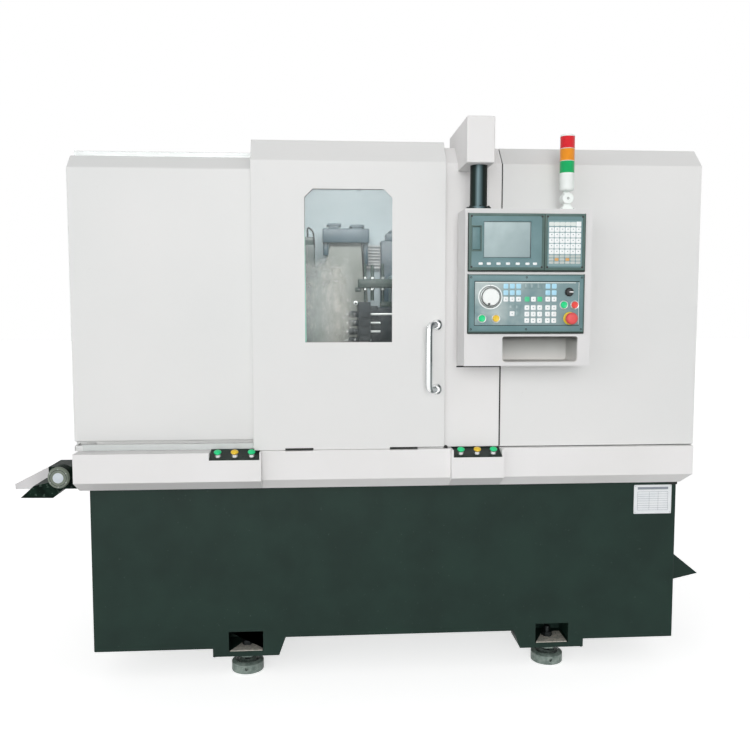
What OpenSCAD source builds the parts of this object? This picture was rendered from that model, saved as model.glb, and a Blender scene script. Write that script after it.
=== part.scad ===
// Fully enclosed CNC lathe: floor-standing base, sheet-metal guarding with one sliding door,
// and a swivelling control pendant. Units are millimetres, +X is the operator's right,
// +Y points to the back of the machine, +Z is up.

/* [Base] */
// Width of the welded base
base_w = 2120; // [1700:10:2600]
// Depth of the welded base
base_d = 1150; // [920:10:1450]
// Height of the base's top plate above the floor
base_top = 705; // [580:5:860]
// Height of the base's lower edge at its ends
base_bottom = 102; // [95:1:125]
// Height of the raised lower edge between the feet
arch_bottom = 139; // [130:1:170]
// Thickness of the base's plates
base_wall = 8; // [5:1:12]
// Height of the underside of the foot brackets
bracket_bottom = 73; // [65:1:90]
// Width of a foot bracket
bracket_w = 240; // [210:5:300]
// Thickness of the foot plate in each bracket
foot_plate_t = 18; // [12:1:22]
// Left feet, measured from the base's middle
foot_left = 527; // [450:1:640]
// Right feet, measured from the base's middle
foot_right = 608; // [520:1:700]
// Feet set in from the front and back of the base
foot_inset = 67; // [62:1:90]
// Width of the window that reaches a levelling screw
foot_window_w = 124; // [90:2:150]
// Height of the window that reaches a levelling screw
foot_window_h = 74; // [55:1:90]

/* [Feet] */
// Diameter of a levelling pad
pad_d = 118; // [90:2:130]
// Height of a levelling pad
pad_h = 38; // [30:1:46]
// Thread diameter of a levelling screw
screw_d = 24; // [16:2:30]
// Height of a lock nut
nut_h = 19; // [12:1:24]

/* [Drip tray] */
// Overhang of the tray past each end of the base
tray_over = 31.5; // [20:0.5:60]
// Overhang of the tray past the front of the base
tray_front = 83; // [70:1:100]
// Overhang of the tray past the back of the base
tray_back = 40; // [25:1:60]
// Height of the tray above the base
tray_h = 140; // [120:1:170]
// Height of the bevel along the tray's lower edge
tray_bevel = 37; // [20:1:50]
// Thickness of the sheet metal
sheet = 3; // [2:0.5:4]
// Width of the rim around the tray
tray_rim = 52; // [45:1:70]
// Depth of the rim along the front
tray_front_rim = 113; // [105:1:130]
// How far the aprons stand out of the tray's front
apron_out = 32; // [15:1:45]

/* [Button plates] */
// Width of a button plate
plate_w = 172; // [150:1:200]
// Depth of a button plate, seen from above
plate_depth = 68; // [60:1:75]
// Drop of a button plate from back to front
plate_drop = 26; // [10:1:35]
// Thickness of a button plate
plate_t = 3; // [2:0.5:4]
// Spacing of the mushroom buttons
mushroom_pitch = 58; // [44:1:62]
// Diameter of a mushroom cap
mushroom_d = 26; // [20:1:27]
// Travel of a mushroom button
mushroom_travel = 4; // [2:0.5:5]

/* [Covers] */
// Overhang of the left cover past the tray's end
left_over = 25.5; // [12:0.5:45]
// Height of the left cover's lower edge above the tray
left_gap = 26; // [18:1:34]
// Height of the left cover's front panel
left_panel_h = 952; // [800:2:1100]
// Rise of the left cover's bevel
left_bevel = 47; // [30:1:60]
// Overhang of the right cover past the tray's end
right_over = 9.5; // [6:0.5:30]
// How far the right cover and the column stand in front of the left cover
right_front = 58; // [46:1:70]
// How far the right cover's roof stands above the left cover's
right_rise = 35; // [0:1:60]
// Rise of the right cover's bevel
right_bevel = 65; // [40:1:80]
// Width of the column
column_w = 197; // [170:1:230]
// Width of the seams between covers
seam = 3; // [2:0.5:5]

/* [Sliding door] */
// Left edge of the closed door, measured from the base's middle
door_left = 485; // [420:1:560]
// Width of the door
door_w = 670; // [560:1:780]
// How far the door's face stands in front of the left cover
door_front = 75; // [68:1:80]
// Gap under the door
door_gap = 7; // [5:1:9]
// How far the door's hood stands above the left cover's roof
door_over = 49; // [36:1:70]
// Rise of the door's bevel
door_bevel_h = 78; // [60:1:100]
// Depth of the door's bevel
door_bevel_d = 55; // [40:1:60]
// Depth of the hood behind the bevel
hood_d = 180; // [160:5:240]
// Travel of the door
door_travel = 600; // [400:10:620]
// Width of the window
window_w = 302; // [240:2:380]
// Left edge of the window from the door's left edge
window_in = 182; // [120:1:230]
// Lower edge of the window above the door's lower edge
window_up = 370; // [300:1:440]
// Upper edge of the window below the door's bevel
window_drop = 94; // [70:1:160]
// Cut across the window's upper corners
window_cut = 29; // [0:1:50]
// Thickness of the window
glass_t = 8; // [5:1:10]

/* [Door handle] */
// Diameter of the grab bar
bar_d = 23; // [18:1:28]
// Distance between the centres of the handle's legs
leg_pitch = 226; // [180:1:280]
// Reach of the grip away from its flanges
grip_reach = 60; // [48:1:70]
// Lean of the grip to the left of straight out
grip_lean = 33; // [0:1:40]
// Handle's place from the door's right edge
handle_in = 30; // [24:1:50]
// Height of the handle's middle above the door's lower edge
handle_up = 317; // [250:1:420]

/* [Pendant] */
// Width of the overhead arm
arm_w = 93; // [80:1:110]
// Height of the overhead arm
arm_h = 150; // [120:1:180]
// Reach of the arm in front of the column
arm_reach = 170; // [150:1:190]
// Left side of the arm from the column's left side
arm_in = 42; // [36:0.5:50]
// How far the arm's underside lies below the right cover's roof
arm_below_roof = 91; // [80:1:120]
// Diameter of the hanging tube
tube_d = 57; // [40:1:60]
// Visible length of the hanging tube
tube_len = 146; // [100:1:200]
// Width of the control box
box_w = 427; // [405:1:480]
// Depth of the control box
box_d = 140; // [120:1:146]
// Height of the control box
box_h = 521; // [480:1:600]
// Left side of the control box from the tube's axis
box_in = 53; // [48:1:54]
// Front of the control box from the tube's axis
box_fore = 51; // [46:1:60]
// Thickness of a control panel
panel_t = 6; // [4:1:8]
// Depth of the recess under the panels
recess_d = 126; // [60:1:130]

/* [Operator controls] */
// Diameter of the hand pulse wheel
wheel_d = 72; // [60:1:80]
// Diameter of a push button's cap
push_d = 22; // [16:1:24]
// Travel of a push button
push_travel = 3; // [2:0.5:4]
// Diameter of the emergency stop's cap
estop_d = 40; // [36:1:44]
// Travel of the emergency stop
estop_travel = 6; // [4:0.5:8]
// Size of a membrane key
key_size = 14; // [10:0.5:15]

/* [Signal tower] */
// Diameter of the signal tower
tower_d = 49; // [40:1:60]
// Height of one lens
lens_h = 39; // [30:1:50]

/* [Lathe] */
// Height of the spindle axis above the tray's floor
spindle_up = 575; // [520:1:640]
// Distance of the spindle axis behind the left cover's front
spindle_back = 400; // [380:1:430]
// Diameter of the spindle in its bearings
spindle_d = 90; // [70:1:110]
// Diameter of the bore through the spindle
spindle_bore = 26; // [16:1:40]
// Height of the bed casting
bed_h = 192; // [150:1:220]
// Spacing of the tool holders
tool_pitch = 33.5; // [30:0.5:45]
// Diameter of a tool holder's shank
shank_d = 16; // [12:1:20]

/* [Side fittings] */
// Reach of the parts tray past the base's left end
tray_reach = 340; // [300:1:450]
// Reach of the filler spout past the base's right end
spout_reach = 175; // [120:1:220]
// Diameter of the conveyor's gear motor
motor_d = 77; // [60:1:90]

/* [Hidden] */
$fn = 64;
run = 0.05;      // radial clearance of a running fit
slip = 0.3;      // clearance of loose sliding parts
eps = 1;         // overlap of cutting shapes
half_w = base_w / 2;
tray_x = half_w + tray_over;
tray_top = base_top + tray_h;
tray_floor = base_top + sheet;
rear = base_d;
left_x = -tray_x - left_over;
left_bottom = tray_top + left_gap;
left_eave = left_bottom + left_panel_h;
left_roof = left_eave + left_bevel;
right_x = tray_x + right_over;
right_roof = left_roof + right_rise;
right_eave = right_roof - right_bevel;
door_x0 = -door_left;
door_x1 = door_x0 + door_w;
door_y = -door_front;
door_z0 = tray_top + door_gap;
door_top = left_roof + door_over;
door_eave = door_top - door_bevel_h;
hood_y1 = door_y + door_bevel_d + hood_d;
cover_x1 = door_x0 + 30;            // right end of the left cover, behind the closed door
column_x0 = door_x1 + 2;
column_x1 = column_x0 + column_w;
right_x0 = column_x1 + seam;
arm_x0 = column_x0 + arm_in;
arm_x1 = arm_x0 + arm_w;
arm_z0 = right_roof - arm_below_roof;
arm_y0 = -right_front - arm_reach;
arm_y1 = 130;
tube_x = arm_x0 + arm_w / 2 + 5.5;
tube_y = arm_y0 + 63;
box_top = arm_z0 - tube_len;
box_x0 = tube_x - box_in;
box_x1 = box_x0 + box_w;
box_y0 = tube_y - box_fore;
box_y1 = box_y0 + box_d;
box_z0 = box_top - box_h;
panel_y = box_y0 - panel_t;
axis_z = tray_floor + spindle_up;
bed_top = tray_floor + bed_h;
bed_x0 = -half_w + 160;
bed_x1 = 560;
bed_y0 = 300;
bed_y1 = 860;
head_x0 = bed_x0 + 100;
head_x1 = -285;
head_y1 = 520;
nose_x = head_x1 + 70;
foot_xs = [-foot_left, foot_right];
foot_ys = [foot_inset, base_d - foot_inset];
plate_tilt = atan(plate_drop / plate_depth);
plate_len = norm([plate_depth, plate_drop]);
apron_y = -tray_front - apron_out;
left_apron_x1 = door_x0 + 28;
right_apron_x0 = column_x0 + 19;
left_plate_x = left_apron_x1 - 5 - plate_w;
right_plate_x = right_apron_x0 + 7;
right_apron_x1 = right_plate_x + plate_w + 7;
rail_y = 70;
rail_w = 24;
rail_h = 18;
carriage_top = door_top - sheet;
estop_reach = 36;
front_reach = -panel_y + estop_reach;
rear_reach = rear + tray_back;
mid_x = (spout_reach - tray_reach) / 2;
mid_y = (rear_reach - front_reach) / 2;

// ---- helpers

// moves the machine so that the middle of its footprint is the origin
module placed() {
  translate([-mid_x, -mid_y, 0]) children();
}

// box between two corners
module slab(a, b) {
  translate(a) cube(b - a);
}

// outline in Y and Z, extruded from x0 to x1
module along_x(x0, x1) {
  translate([x0, 0, 0]) rotate([90, 0, 90]) linear_extrude(x1 - x0) children();
}

// outline in X and Z, extruded from y0 to y1
module along_y(y0, y1) {
  translate([0, y1, 0]) rotate([90, 0, 0]) linear_extrude(y1 - y0) children();
}

module rod_x(x0, x1, y, z, d) {
  translate([x0, y, z]) rotate([0, 90, 0]) cylinder(h = x1 - x0, d = d);
}

module rod_y(y0, y1, x, z, d) {
  translate([x, y1, z]) rotate([90, 0, 0]) cylinder(h = y1 - y0, d = d);
}

module rod_z(z0, z1, x, y, d) {
  translate([x, y, z0]) cylinder(h = z1 - z0, d = d);
}

// ---- base

// outline of the base's front and back plates, with the foot brackets and the raised middle
module base_outline() {
  slant = bracket_w / 10;
  l0 = -foot_left - bracket_w / 2;
  l1 = -foot_left + bracket_w / 2;
  r0 = foot_right - bracket_w / 2;
  r1 = foot_right + bracket_w / 2;
  polygon([
    [-half_w, base_top], [-half_w, base_bottom], [l0, base_bottom], [l0, bracket_bottom],
    [l1, bracket_bottom], [l1 + slant, arch_bottom], [r0 - slant, arch_bottom],
    [r0, bracket_bottom], [r1, bracket_bottom], [r1, base_bottom], [half_w, base_bottom],
    [half_w, base_top]
  ]);
}

foot_plate_top = bracket_bottom + foot_plate_t;
pocket_depth = 2 * foot_inset + 10 - base_wall;
bracket_ys = [base_wall, base_d - base_wall - pocket_depth];
pocket_top = foot_plate_top + foot_window_h + 10;
pocket_w = foot_window_w + 30;

// Coolant tank's spout: an opening in the right wall lets it through
spout_y0 = 150;
spout_y1 = 350;
tank_z0 = arch_bottom + base_wall;
tank_h = 313;
tank_top = tank_z0 + tank_h;
spout_tip_z = tank_z0 + 147;
spout_low = tank_z0 + 103;
drain_x = half_w - 260;
drain_y = 250;
drain_d = 60;

module base_frame() {
  color("#283b34") placed() difference() {
    union() {
      for (y = [0, base_d - base_wall]) along_y(y, y + base_wall) base_outline();
      for (x = [-half_w, half_w - base_wall])
        slab([x, 0, base_bottom], [x + base_wall, base_d, base_top]);
      slab([-half_w, 0, base_top - base_wall], [half_w, base_d, base_top]);
      slab([-half_w, 0, arch_bottom], [half_w, base_d, arch_bottom + base_wall]);
      for (x = [-base_w / 6, base_w / 6])
        slab([x, 0, tank_top + 20], [x + base_wall, base_d, base_top]);
    }
    for (x = foot_xs, y = [-eps, base_d - base_wall - eps])
      slab([x - foot_window_w / 2, y, foot_plate_top],
           [x + foot_window_w / 2, y + base_wall + 2 * eps, foot_plate_top + foot_window_h]);
    for (x = foot_xs, y = bracket_ys) bracket_block(x, y);
    slab([half_w - base_wall - eps, spout_y0 - 3, spout_low - 3],
         [half_w + eps, spout_y1 + 3, tank_top]);
    rod_z(base_top - base_wall - eps, base_top + eps, drain_x, drain_y, drain_d);
  }
}

// the room one levelling bracket takes behind the base's front or back plate
module bracket_block(x, y) {
  slab([x - bracket_w / 2, y, bracket_bottom], [x + bracket_w / 2, y + pocket_depth, foot_plate_top]);
  slab([x - pocket_w / 2, y, foot_plate_top], [x + pocket_w / 2, y + pocket_depth, pocket_top]);
}

// Levelling brackets: a thick plate each, with walls that close its pocket off from the coolant
module foot_brackets() {
  color("#283b34") placed() for (x = foot_xs, front = [true, false]) {
    y = front ? bracket_ys[0] : bracket_ys[1];
    open_y = front ? y - eps : y + 6;
    difference() {
      bracket_block(x, y);
      slab([x - pocket_w / 2 + 6, open_y, foot_plate_top],
           [x + pocket_w / 2 - 6, open_y + pocket_depth - 6 + eps, pocket_top - 6]);
      rod_z(bracket_bottom - eps, foot_plate_top + eps, x, front ? foot_ys[0] : foot_ys[1],
            screw_d + 2 * slip);
    }
  }
}

module leveling_screws() {
  color("#8b8f8e") placed() for (x = foot_xs, y = foot_ys) {
    rod_z(pad_h - 8, foot_plate_top + nut_h + 22, x, y, screw_d);
    translate([x, y, foot_plate_top]) difference() {
      cylinder(h = nut_h, d = 1.73 * screw_d, $fn = 6);
      translate([0, 0, -eps]) cylinder(h = nut_h + 2 * eps, d = screw_d + 2 * run);
    }
  }
}

module leveling_pads() {
  bevel = 6;
  color("#6f7673") placed() for (x = foot_xs, y = foot_ys) translate([x, y, 0]) difference() {
    rotate_extrude() polygon([
      [0, 0], [pad_d / 2, 0], [pad_d / 2, pad_h - bevel], [pad_d / 2 - 3 * bevel, pad_h], [0, pad_h]
    ]);
    translate([0, 0, pad_h - 8]) cylinder(h = 8 + eps, d = screw_d + 2 * slip);
    translate([0, -pad_d / 2 + 12, pad_h / 2]) rotate([90, 0, 0]) cylinder(h = 20, d = 12);
  }
}

// ---- drip tray

// block with bevelled lower edges, taken in by `inset` on every side
module tray_block(inset) {
  b = tray_bevel;
  z0 = base_top + inset;
  z1 = tray_top - inset;
  y0 = -tray_front + inset;
  y1 = rear + tray_back - inset;
  x1 = tray_x - inset;
  slope = (tray_front - 43) / b;
  intersection() {
    along_x(-x1, x1) polygon([
      [y0, z1], [y0, base_top + b], [y0 + slope * (b - inset), z0],
      [y1 - 0.8 * (b - inset), z0], [y1, base_top + b], [y1, z1]
    ]);
    along_y(y0, y1) polygon([
      [-x1, z1], [-x1, base_top + b], [-x1 + 0.8 * (b - inset), z0],
      [x1 - 0.8 * (b - inset), z0], [x1, base_top + b], [x1, z1]
    ]);
  }
}

// apron from x0 to x1, taken in by `inset`
module apron(x0, x1, inset) {
  y0 = apron_y + inset;
  back = inset > 0 ? 2 * sheet : 0;
  along_x(x0 + inset, x1 - inset) polygon([
    [y0, tray_top - inset], [y0, base_top + tray_bevel + 3],
    [-43 + back, base_top + inset], [-43 + back, tray_top - inset]
  ]);
}

// room for the button plate at plate_x
module plate_notch(plate_x, inset) {
  c = inset / cos(plate_tilt);
  along_x(plate_x - inset, plate_x + plate_w + inset) polygon([
    [apron_y - eps, tray_top - plate_drop - c - eps * tan(plate_tilt)],
    [apron_y + plate_depth, tray_top - c], [apron_y + plate_depth + inset, tray_top - c],
    [apron_y + plate_depth + inset, tray_top + eps], [apron_y - eps, tray_top + eps]
  ]);
}

// local frame on a button plate: origin at its lower front corner, +Z out of the plate
module on_plate(plate_x) {
  translate([plate_x, apron_y, tray_top - plate_drop]) rotate([plate_tilt, 0, 0]) children();
}

function button_xs() = [for (i = [-1:1]) plate_w / 2 + i * mushroom_pitch];
button_v = plate_len / 2 - 12;
barrel_d = 19;

// tray with both aprons, taken in by `inset`
module tray_body(inset) {
  difference() {
    union() {
      tray_block(inset);
      apron(-tray_x, left_apron_x1, inset);
      apron(right_apron_x0, right_apron_x1, inset);
    }
    for (x = [left_plate_x, right_plate_x]) plate_notch(x, inset);
  }
}

module drip_tray() {
  notch_xs = [door_x0 + 110, door_x0 + 477];
  color("#e0dede") placed() difference() {
    tray_body(0);
    tray_body(sheet);
    slab([-tray_x + tray_rim, -tray_front + tray_front_rim, tray_top - 2 * sheet],
         [tray_x - tray_rim, rear + tray_back - tray_rim, tray_top + eps]);
    for (p = [left_plate_x, right_plate_x]) on_plate(p)
      for (x = button_xs())
        translate([x, button_v, -3 * sheet]) cylinder(h = 6 * sheet, d = barrel_d + 2 * slip);
    for (x = notch_xs)
      slab([x, -tray_front - eps, tray_top - 2], [x + 98, -tray_front + 30, tray_top + eps]);
    rod_z(base_top - eps, tray_floor + eps, drain_x, drain_y, drain_d);
  }
}

module button_plates() {
  color("#1f2f29") placed() for (p = [left_plate_x, right_plate_x]) on_plate(p) difference() {
    cube([plate_w, plate_len, plate_t]);
    for (x = button_xs())
      translate([x, button_v, -eps]) cylinder(h = plate_t + 2 * eps, d = barrel_d + 2 * slip);
  }
}

collar_h = 9;
stem_d = 10;

module button_collars() {
  color("#c9ccce") placed() for (p = [left_plate_x, right_plate_x]) on_plate(p)
    for (x = button_xs()) translate([x, button_v, 0]) difference() {
      union() {
        translate([0, 0, plate_t]) cylinder(h = collar_h, d1 = barrel_d + 5, d2 = barrel_d);
        translate([0, 0, -16]) cylinder(h = 16 + plate_t, d = barrel_d);
      }
      translate([0, 0, -16 - eps]) cylinder(h = 16 + plate_t + collar_h + 2 * eps, d = stem_d + 2 * run);
    }
}

// mushroom push button `i` on a plate, with its stem in the collar
module mushroom(plate_x, i, tint) {
  lift = plate_t + collar_h + mushroom_travel + 0.5;
  dome = mushroom_d / 2;
  color(tint) placed() on_plate(plate_x) translate([button_xs()[i], button_v, 0]) {
    translate([0, 0, -12]) cylinder(h = 12 + lift + 1, d = stem_d);
    translate([0, 0, lift]) rotate_extrude() polygon(concat(
      [[0, 0], [dome - 1, 0], [dome, 1]],
      [for (a = [0:9:81]) [dome * cos(a), 2.5 + 6.5 * sin(a)]],
      [[0, 2.5 + 6.5 * sin(81)]]
    ));
  }
}

module left_button_1() { mushroom(left_plate_x, 0, "#1d9b62"); }
module left_button_2() { mushroom(left_plate_x, 1, "#d9a637"); }
module left_button_3() { mushroom(left_plate_x, 2, "#1d9b62"); }
module right_button_1() { mushroom(right_plate_x, 0, "#1d9b62"); }
module right_button_2() { mushroom(right_plate_x, 1, "#d9a637"); }
module right_button_3() { mushroom(right_plate_x, 2, "#1d9b62"); }

// ---- covers

plinth_in = 15;

// outline of the left cover in Y and Z, taken in by t
module left_outline(t) {
  k = t * tan(22.5);
  polygon([
    [t, left_bottom + t], [t, left_eave - k], [left_bevel + k, left_roof - t],
    [rear - t, left_roof - t], [rear - t, left_bottom + t]
  ]);
}

module left_cover() {
  plinth_x = -tray_x + 12;
  color("#e4e4e4") placed() difference() {
    union() {
      along_x(left_x, cover_x1) left_outline(0);
      slab([plinth_x, plinth_in, tray_top], [cover_x1, rear - plinth_in, left_bottom + eps]);
    }
    along_x(left_x + sheet, cover_x1 + eps) left_outline(sheet);
    slab([plinth_x + sheet, plinth_in + sheet, tray_top - eps],
         [cover_x1 + eps, rear - plinth_in - sheet, left_bottom + 2 * sheet]);
    rod_x(left_x - eps, left_x + sheet + eps, spindle_back, axis_z, spindle_bore + 24);
  }
}

// outline of the right cover and the column in Y and Z, taken in by t
module right_outline(t) {
  k = t * tan(22.5);
  polygon([
    [t - right_front, tray_top + seam + t], [t - right_front, right_eave - k],
    [right_bevel - right_front + k, right_roof - t],
    [rear - t, right_roof - t], [rear - t, tray_top + seam + t]
  ]);
}

module column_cover() {
  color("#e0dede") placed() difference() {
    union() {
      along_x(column_x0, column_x1) right_outline(0);
      slab([column_x0 + plinth_in, plinth_in - right_front, tray_top],
           [column_x1 - plinth_in, 60 - right_front, tray_top + seam + eps]);
    }
    along_x(column_x0 + sheet, column_x1 - sheet) right_outline(sheet);
    slab([column_x0 - eps, 60 - right_front, tray_top + seam - eps],
         [column_x1 + eps, rear - sheet, left_roof - 2 * sheet]);
    slab([column_x0 + plinth_in + sheet, plinth_in - right_front + sheet, tray_top - eps],
         [column_x1 - plinth_in - sheet, 60, tray_top + seam + 2 * sheet]);
    slab([arm_x0 - slip, -right_front - eps, arm_z0 - slip],
         [arm_x1 + slip, arm_y1 + slip, right_roof + eps]);
  }
}

gland_d = 32;
gland_z = tray_top + 90;
bulkhead_x = bed_x1 + 40;
hatch_x0 = bulkhead_x + 20;
hatch_x1 = right_x - 62;
hatch_z0 = tray_top + 60;
hatch_z1 = right_eave - 70;
hatch_t = 18;
pin_x = hatch_x1 + 26;
pin_y = rear + 9;
hinge_zs = [hatch_z0 + 120, hatch_z1 - 180];

module right_cover() {
  color("#e4e4e4") placed() {
    difference() {
      union() {
        along_x(right_x0, right_x) right_outline(0);
        slab([right_x0 + plinth_in, plinth_in - right_front, tray_top],
             [right_x - 2 * plinth_in, rear - plinth_in, tray_top + seam + eps]);
      }
      along_x(right_x0 - eps, right_x - sheet) right_outline(sheet);
      slab([right_x0 - eps, plinth_in - right_front + sheet, tray_top - eps],
           [bulkhead_x, rear - plinth_in - sheet, tray_top + seam + 2 * sheet]);
      slab([hatch_x0 + 20, rear - sheet - eps, hatch_z0 + 20], [hatch_x1 - 20, rear + eps, hatch_z1 - 20]);
      rod_y(rear - sheet - eps, rear + eps, right_x0 + 45, gland_z, gland_d);
    }
    slab([bulkhead_x, sheet - right_front, tray_top + seam + sheet],
         [bulkhead_x + sheet, rear - sheet, right_eave]);
    for (z = hinge_zs) {
      slab([pin_x - 4, rear, z - 14], [pin_x + 12, pin_y + 7, z]);
      rod_z(z - 14, z + 45, pin_x, pin_y, 8);
    }
  }
}

module cabinet_door() {
  knuckle = 13;
  color("#dcdcdb") placed() {
    difference() {
      slab([hatch_x0, rear, hatch_z0], [hatch_x1, rear + hatch_t, hatch_z1]);
      slab([hatch_x0 + sheet, rear - eps, hatch_z0 + sheet],
           [hatch_x1 - sheet, rear + hatch_t - sheet, hatch_z1 - sheet]);
    }
    for (z = hinge_zs) difference() {
      union() {
        slab([hatch_x1 - sheet, pin_y - 2, z], [pin_x, pin_y + 2, z + 42]);
        rod_z(z, z + 42, pin_x, pin_y, knuckle);
      }
      rod_z(z - eps, z + 42 + eps, pin_x, pin_y, 8 + 2 * run);
    }
    for (z = [hatch_z0 + 200, hatch_z1 - 200]) {
      rod_y(rear + hatch_t, rear + hatch_t + 8, hatch_x0 + 24, z, 26);
      slab([hatch_x0 + 21, rear + hatch_t + 8, z - 11], [hatch_x0 + 27, rear + hatch_t + 18, z + 11]);
    }
  }
}

module cabin_roof() {
  x0 = cover_x1 + seam;
  x1 = column_x0 - seam;
  color("#d6dde0") placed() {
    slab([x0, 0, left_roof - sheet], [x1, rear, left_roof]);
    slab([x0, 0, left_roof - 40], [x1, sheet, left_roof - sheet]);
    slab([x0, rear - sheet, tray_top], [x1, rear, left_roof - sheet]);
  }
}

// ---- sliding door

guide_y = -44;
guide_t = 6;
guide_h = 22;
window_x0 = door_x0 + window_in;
window_z0 = door_z0 + window_up;
window_h = door_eave - window_drop - window_z0;

// window outline in X and Z, grown by t
module window_outline(t) {
  x0 = window_x0 - t;
  x1 = window_x0 + window_w + t;
  z0 = window_z0 - t;
  z1 = window_z0 + window_h + t;
  polygon([[x0, z0], [x1, z0], [x1, z1 - window_cut], [x1 - window_cut, z1],
           [x0 + window_cut, z1], [x0, z1 - window_cut]]);
}

// door outline in Y and Z: face, bevel and the hood over the roof
module door_outline() {
  polygon([
    [door_y, door_z0], [door_y, door_eave], [door_y + door_bevel_d, door_top],
    [hood_y1, door_top], [hood_y1, carriage_top - 12], [-12, carriage_top - 12], [-12, door_z0]
  ]);
}

module door_panel() {
  color("#e4e4e4") placed() difference() {
    along_x(door_x0, door_x1) door_outline();
    along_x(door_x0 + sheet, door_x1 - sheet) polygon([
      [door_y + sheet, door_z0 + sheet], [door_y + sheet, door_eave - sheet / 3],
      [door_y + door_bevel_d + sheet / 2, door_top - sheet], [hood_y1 - sheet, door_top - sheet],
      [hood_y1 - sheet, door_z0 - 2 * eps], [0, door_z0 - 2 * eps], [0, door_z0 + sheet]
    ]);
    // room for the rail under the hood and for the lower guide
    slab([door_x0 - eps, rail_y - rail_w, left_roof], [door_x1 + eps, rail_y + rail_w, carriage_top]);
    slab([door_x0 - eps, guide_y - slip, door_z0 - eps], [door_x1 + eps, 0, tray_top + guide_h + 4]);
    along_y(door_y - eps, door_y + 2 * sheet) window_outline(0);
  }
}

module door_window() {
  color("#9fb4b8", 0.5) placed()
    along_y(door_y + sheet, door_y + sheet + glass_t) window_outline(14);
}

handle_x = door_x1 - handle_in;
handle_z = door_z0 + handle_up;

module door_handle() {
  bend = bar_d * 1.05;
  leg = grip_reach - bend;
  color("#c4c8ca") placed() translate([handle_x, door_y, handle_z]) {
    for (s = [-1, 1]) {
      rod_y(-5, 0, 0, s * leg_pitch / 2, 31);
      rotate([0, 0, -grip_lean]) translate([0, 0, s * leg_pitch / 2]) {
        difference() {
          rod_y(-leg, 12, 0, 0, bar_d);
          rotate([0, 0, grip_lean]) slab([-60, 0, -60], [60, 60, 60]);
        }
        translate([0, -leg, -s * bend]) rotate([0, -90, 0]) rotate([0, 0, s > 0 ? -90 : 180])
          rotate_extrude(angle = 90) translate([bend, 0]) circle(d = bar_d);
      }
    }
    rotate([0, 0, -grip_lean]) translate([0, -grip_reach, -leg_pitch / 2 + bend])
      cylinder(h = leg_pitch - 2 * bend, d = bar_d);
  }
}

module door_rails() {
  color("#8f9597") placed() {
    slab([left_x + 12, rail_y - rail_w / 2, left_roof],
         [column_x0 - 2, rail_y + rail_w / 2, left_roof + rail_h]);
    slab([left_x + 40, guide_y, tray_top], [column_x0 - 2, guide_y + guide_t, tray_top + guide_h]);
  }
}

module door_carriages() {
  len = 90;
  wing = 14;
  color("#5d6467") placed() for (x = [door_x0 + 60, door_x1 - 60 - len]) difference() {
    slab([x, rail_y - rail_w / 2 - wing, left_roof + 5],
         [x + len, rail_y + rail_w / 2 + wing, carriage_top]);
    slab([x - eps, rail_y - rail_w / 2 - slip, left_roof],
         [x + len + eps, rail_y + rail_w / 2 + slip, left_roof + rail_h]);
  }
}

// ---- overhead arm and pendant

arm_floor = 8;
post_y0 = 40;

module overhead_arm() {
  color("#dedddd") placed() difference() {
    union() {
      slab([arm_x0, arm_y0, arm_z0], [arm_x1, arm_y1, arm_z0 + arm_h]);
      slab([arm_x0, post_y0, tray_floor], [arm_x1, arm_y1, arm_z0 + eps]);
    }
    slab([arm_x0 + sheet, arm_y0 + sheet, arm_z0 + arm_floor],
         [arm_x1 - sheet, arm_y1 - sheet, arm_z0 + arm_h - sheet]);
    slab([arm_x0 + sheet, post_y0 + sheet, tray_floor - eps],
         [arm_x1 - sheet, arm_y1 - sheet, arm_z0 + arm_floor + eps]);
    rod_z(arm_z0 - eps, arm_z0 + arm_floor + eps, tube_x, tube_y, tube_d + 2 * run);
  }
}

flange_h = 6;
flange_d = tube_d + 27;

module pendant_tube() {
  color("#22332f") placed() difference() {
    union() {
      rod_z(box_top, arm_z0 + arm_floor + 24, tube_x, tube_y, tube_d);
      rod_z(box_top, box_top + flange_h, tube_x, tube_y, flange_d);
      rod_z(arm_z0 + arm_floor, arm_z0 + arm_floor + 10, tube_x, tube_y, tube_d + 14);
    }
    rod_z(box_top - eps, arm_z0 + arm_floor + 24 + eps, tube_x, tube_y, tube_d - 9);
  }
}

// rectangle in X and Z with rounded corners, from y0 to y1
module round_slot(x0, x1, z0, z1, r, y0, y1) {
  slab([x0 + r, y0, z0], [x1 - r, y1, z1]);
  slab([x0, y0, z0 + r], [x1, y1, z1 - r]);
  for (x = [x0 + r, x1 - r], z = [z0 + r, z1 - r]) rod_y(y0, y1, x, z, 2 * r);
}

recess_x0 = box_x0 + 128;
recess_x1 = box_x1 - 42;
recess_z0 = box_z0 + 12;
recess_z1 = recess_z0 + 87;
display_x0 = box_x0 + 11;
display_x1 = display_x0 + 254;
keyboard_x1 = display_x1 + 137;
upper_z1 = box_top - 16;
upper_z0 = upper_z1 - 186;
lower_z1 = upper_z0 - 14;
lower_z0 = lower_z1 - 192;

module control_box() {
  color("#e2e2e2") placed() difference() {
    slab([box_x0, box_y0, box_z0], [box_x1, box_y1, box_top]);
    difference() {
      slab([box_x0 + sheet, box_y0 + sheet, box_z0 + sheet],
           [box_x1 - sheet, box_y1 - sheet, box_top - sheet]);
      round_slot(recess_x0 - sheet, recess_x1 + sheet, recess_z0 - sheet, recess_z1 + sheet, 11,
                 box_y0, box_y0 + recess_d + sheet);
    }
    round_slot(recess_x0, recess_x1, recess_z0, recess_z1, 8, box_y0 - eps, box_y0 + recess_d);
    slab([display_x0 + 12, box_y0 - eps, lower_z0 + 8],
         [keyboard_x1 - 12, box_y0 + sheet + eps, lower_z1 - 8]);
    rod_z(box_top - sheet - eps, box_top + eps, tube_x, tube_y, tube_d - 9);
  }
}

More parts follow.
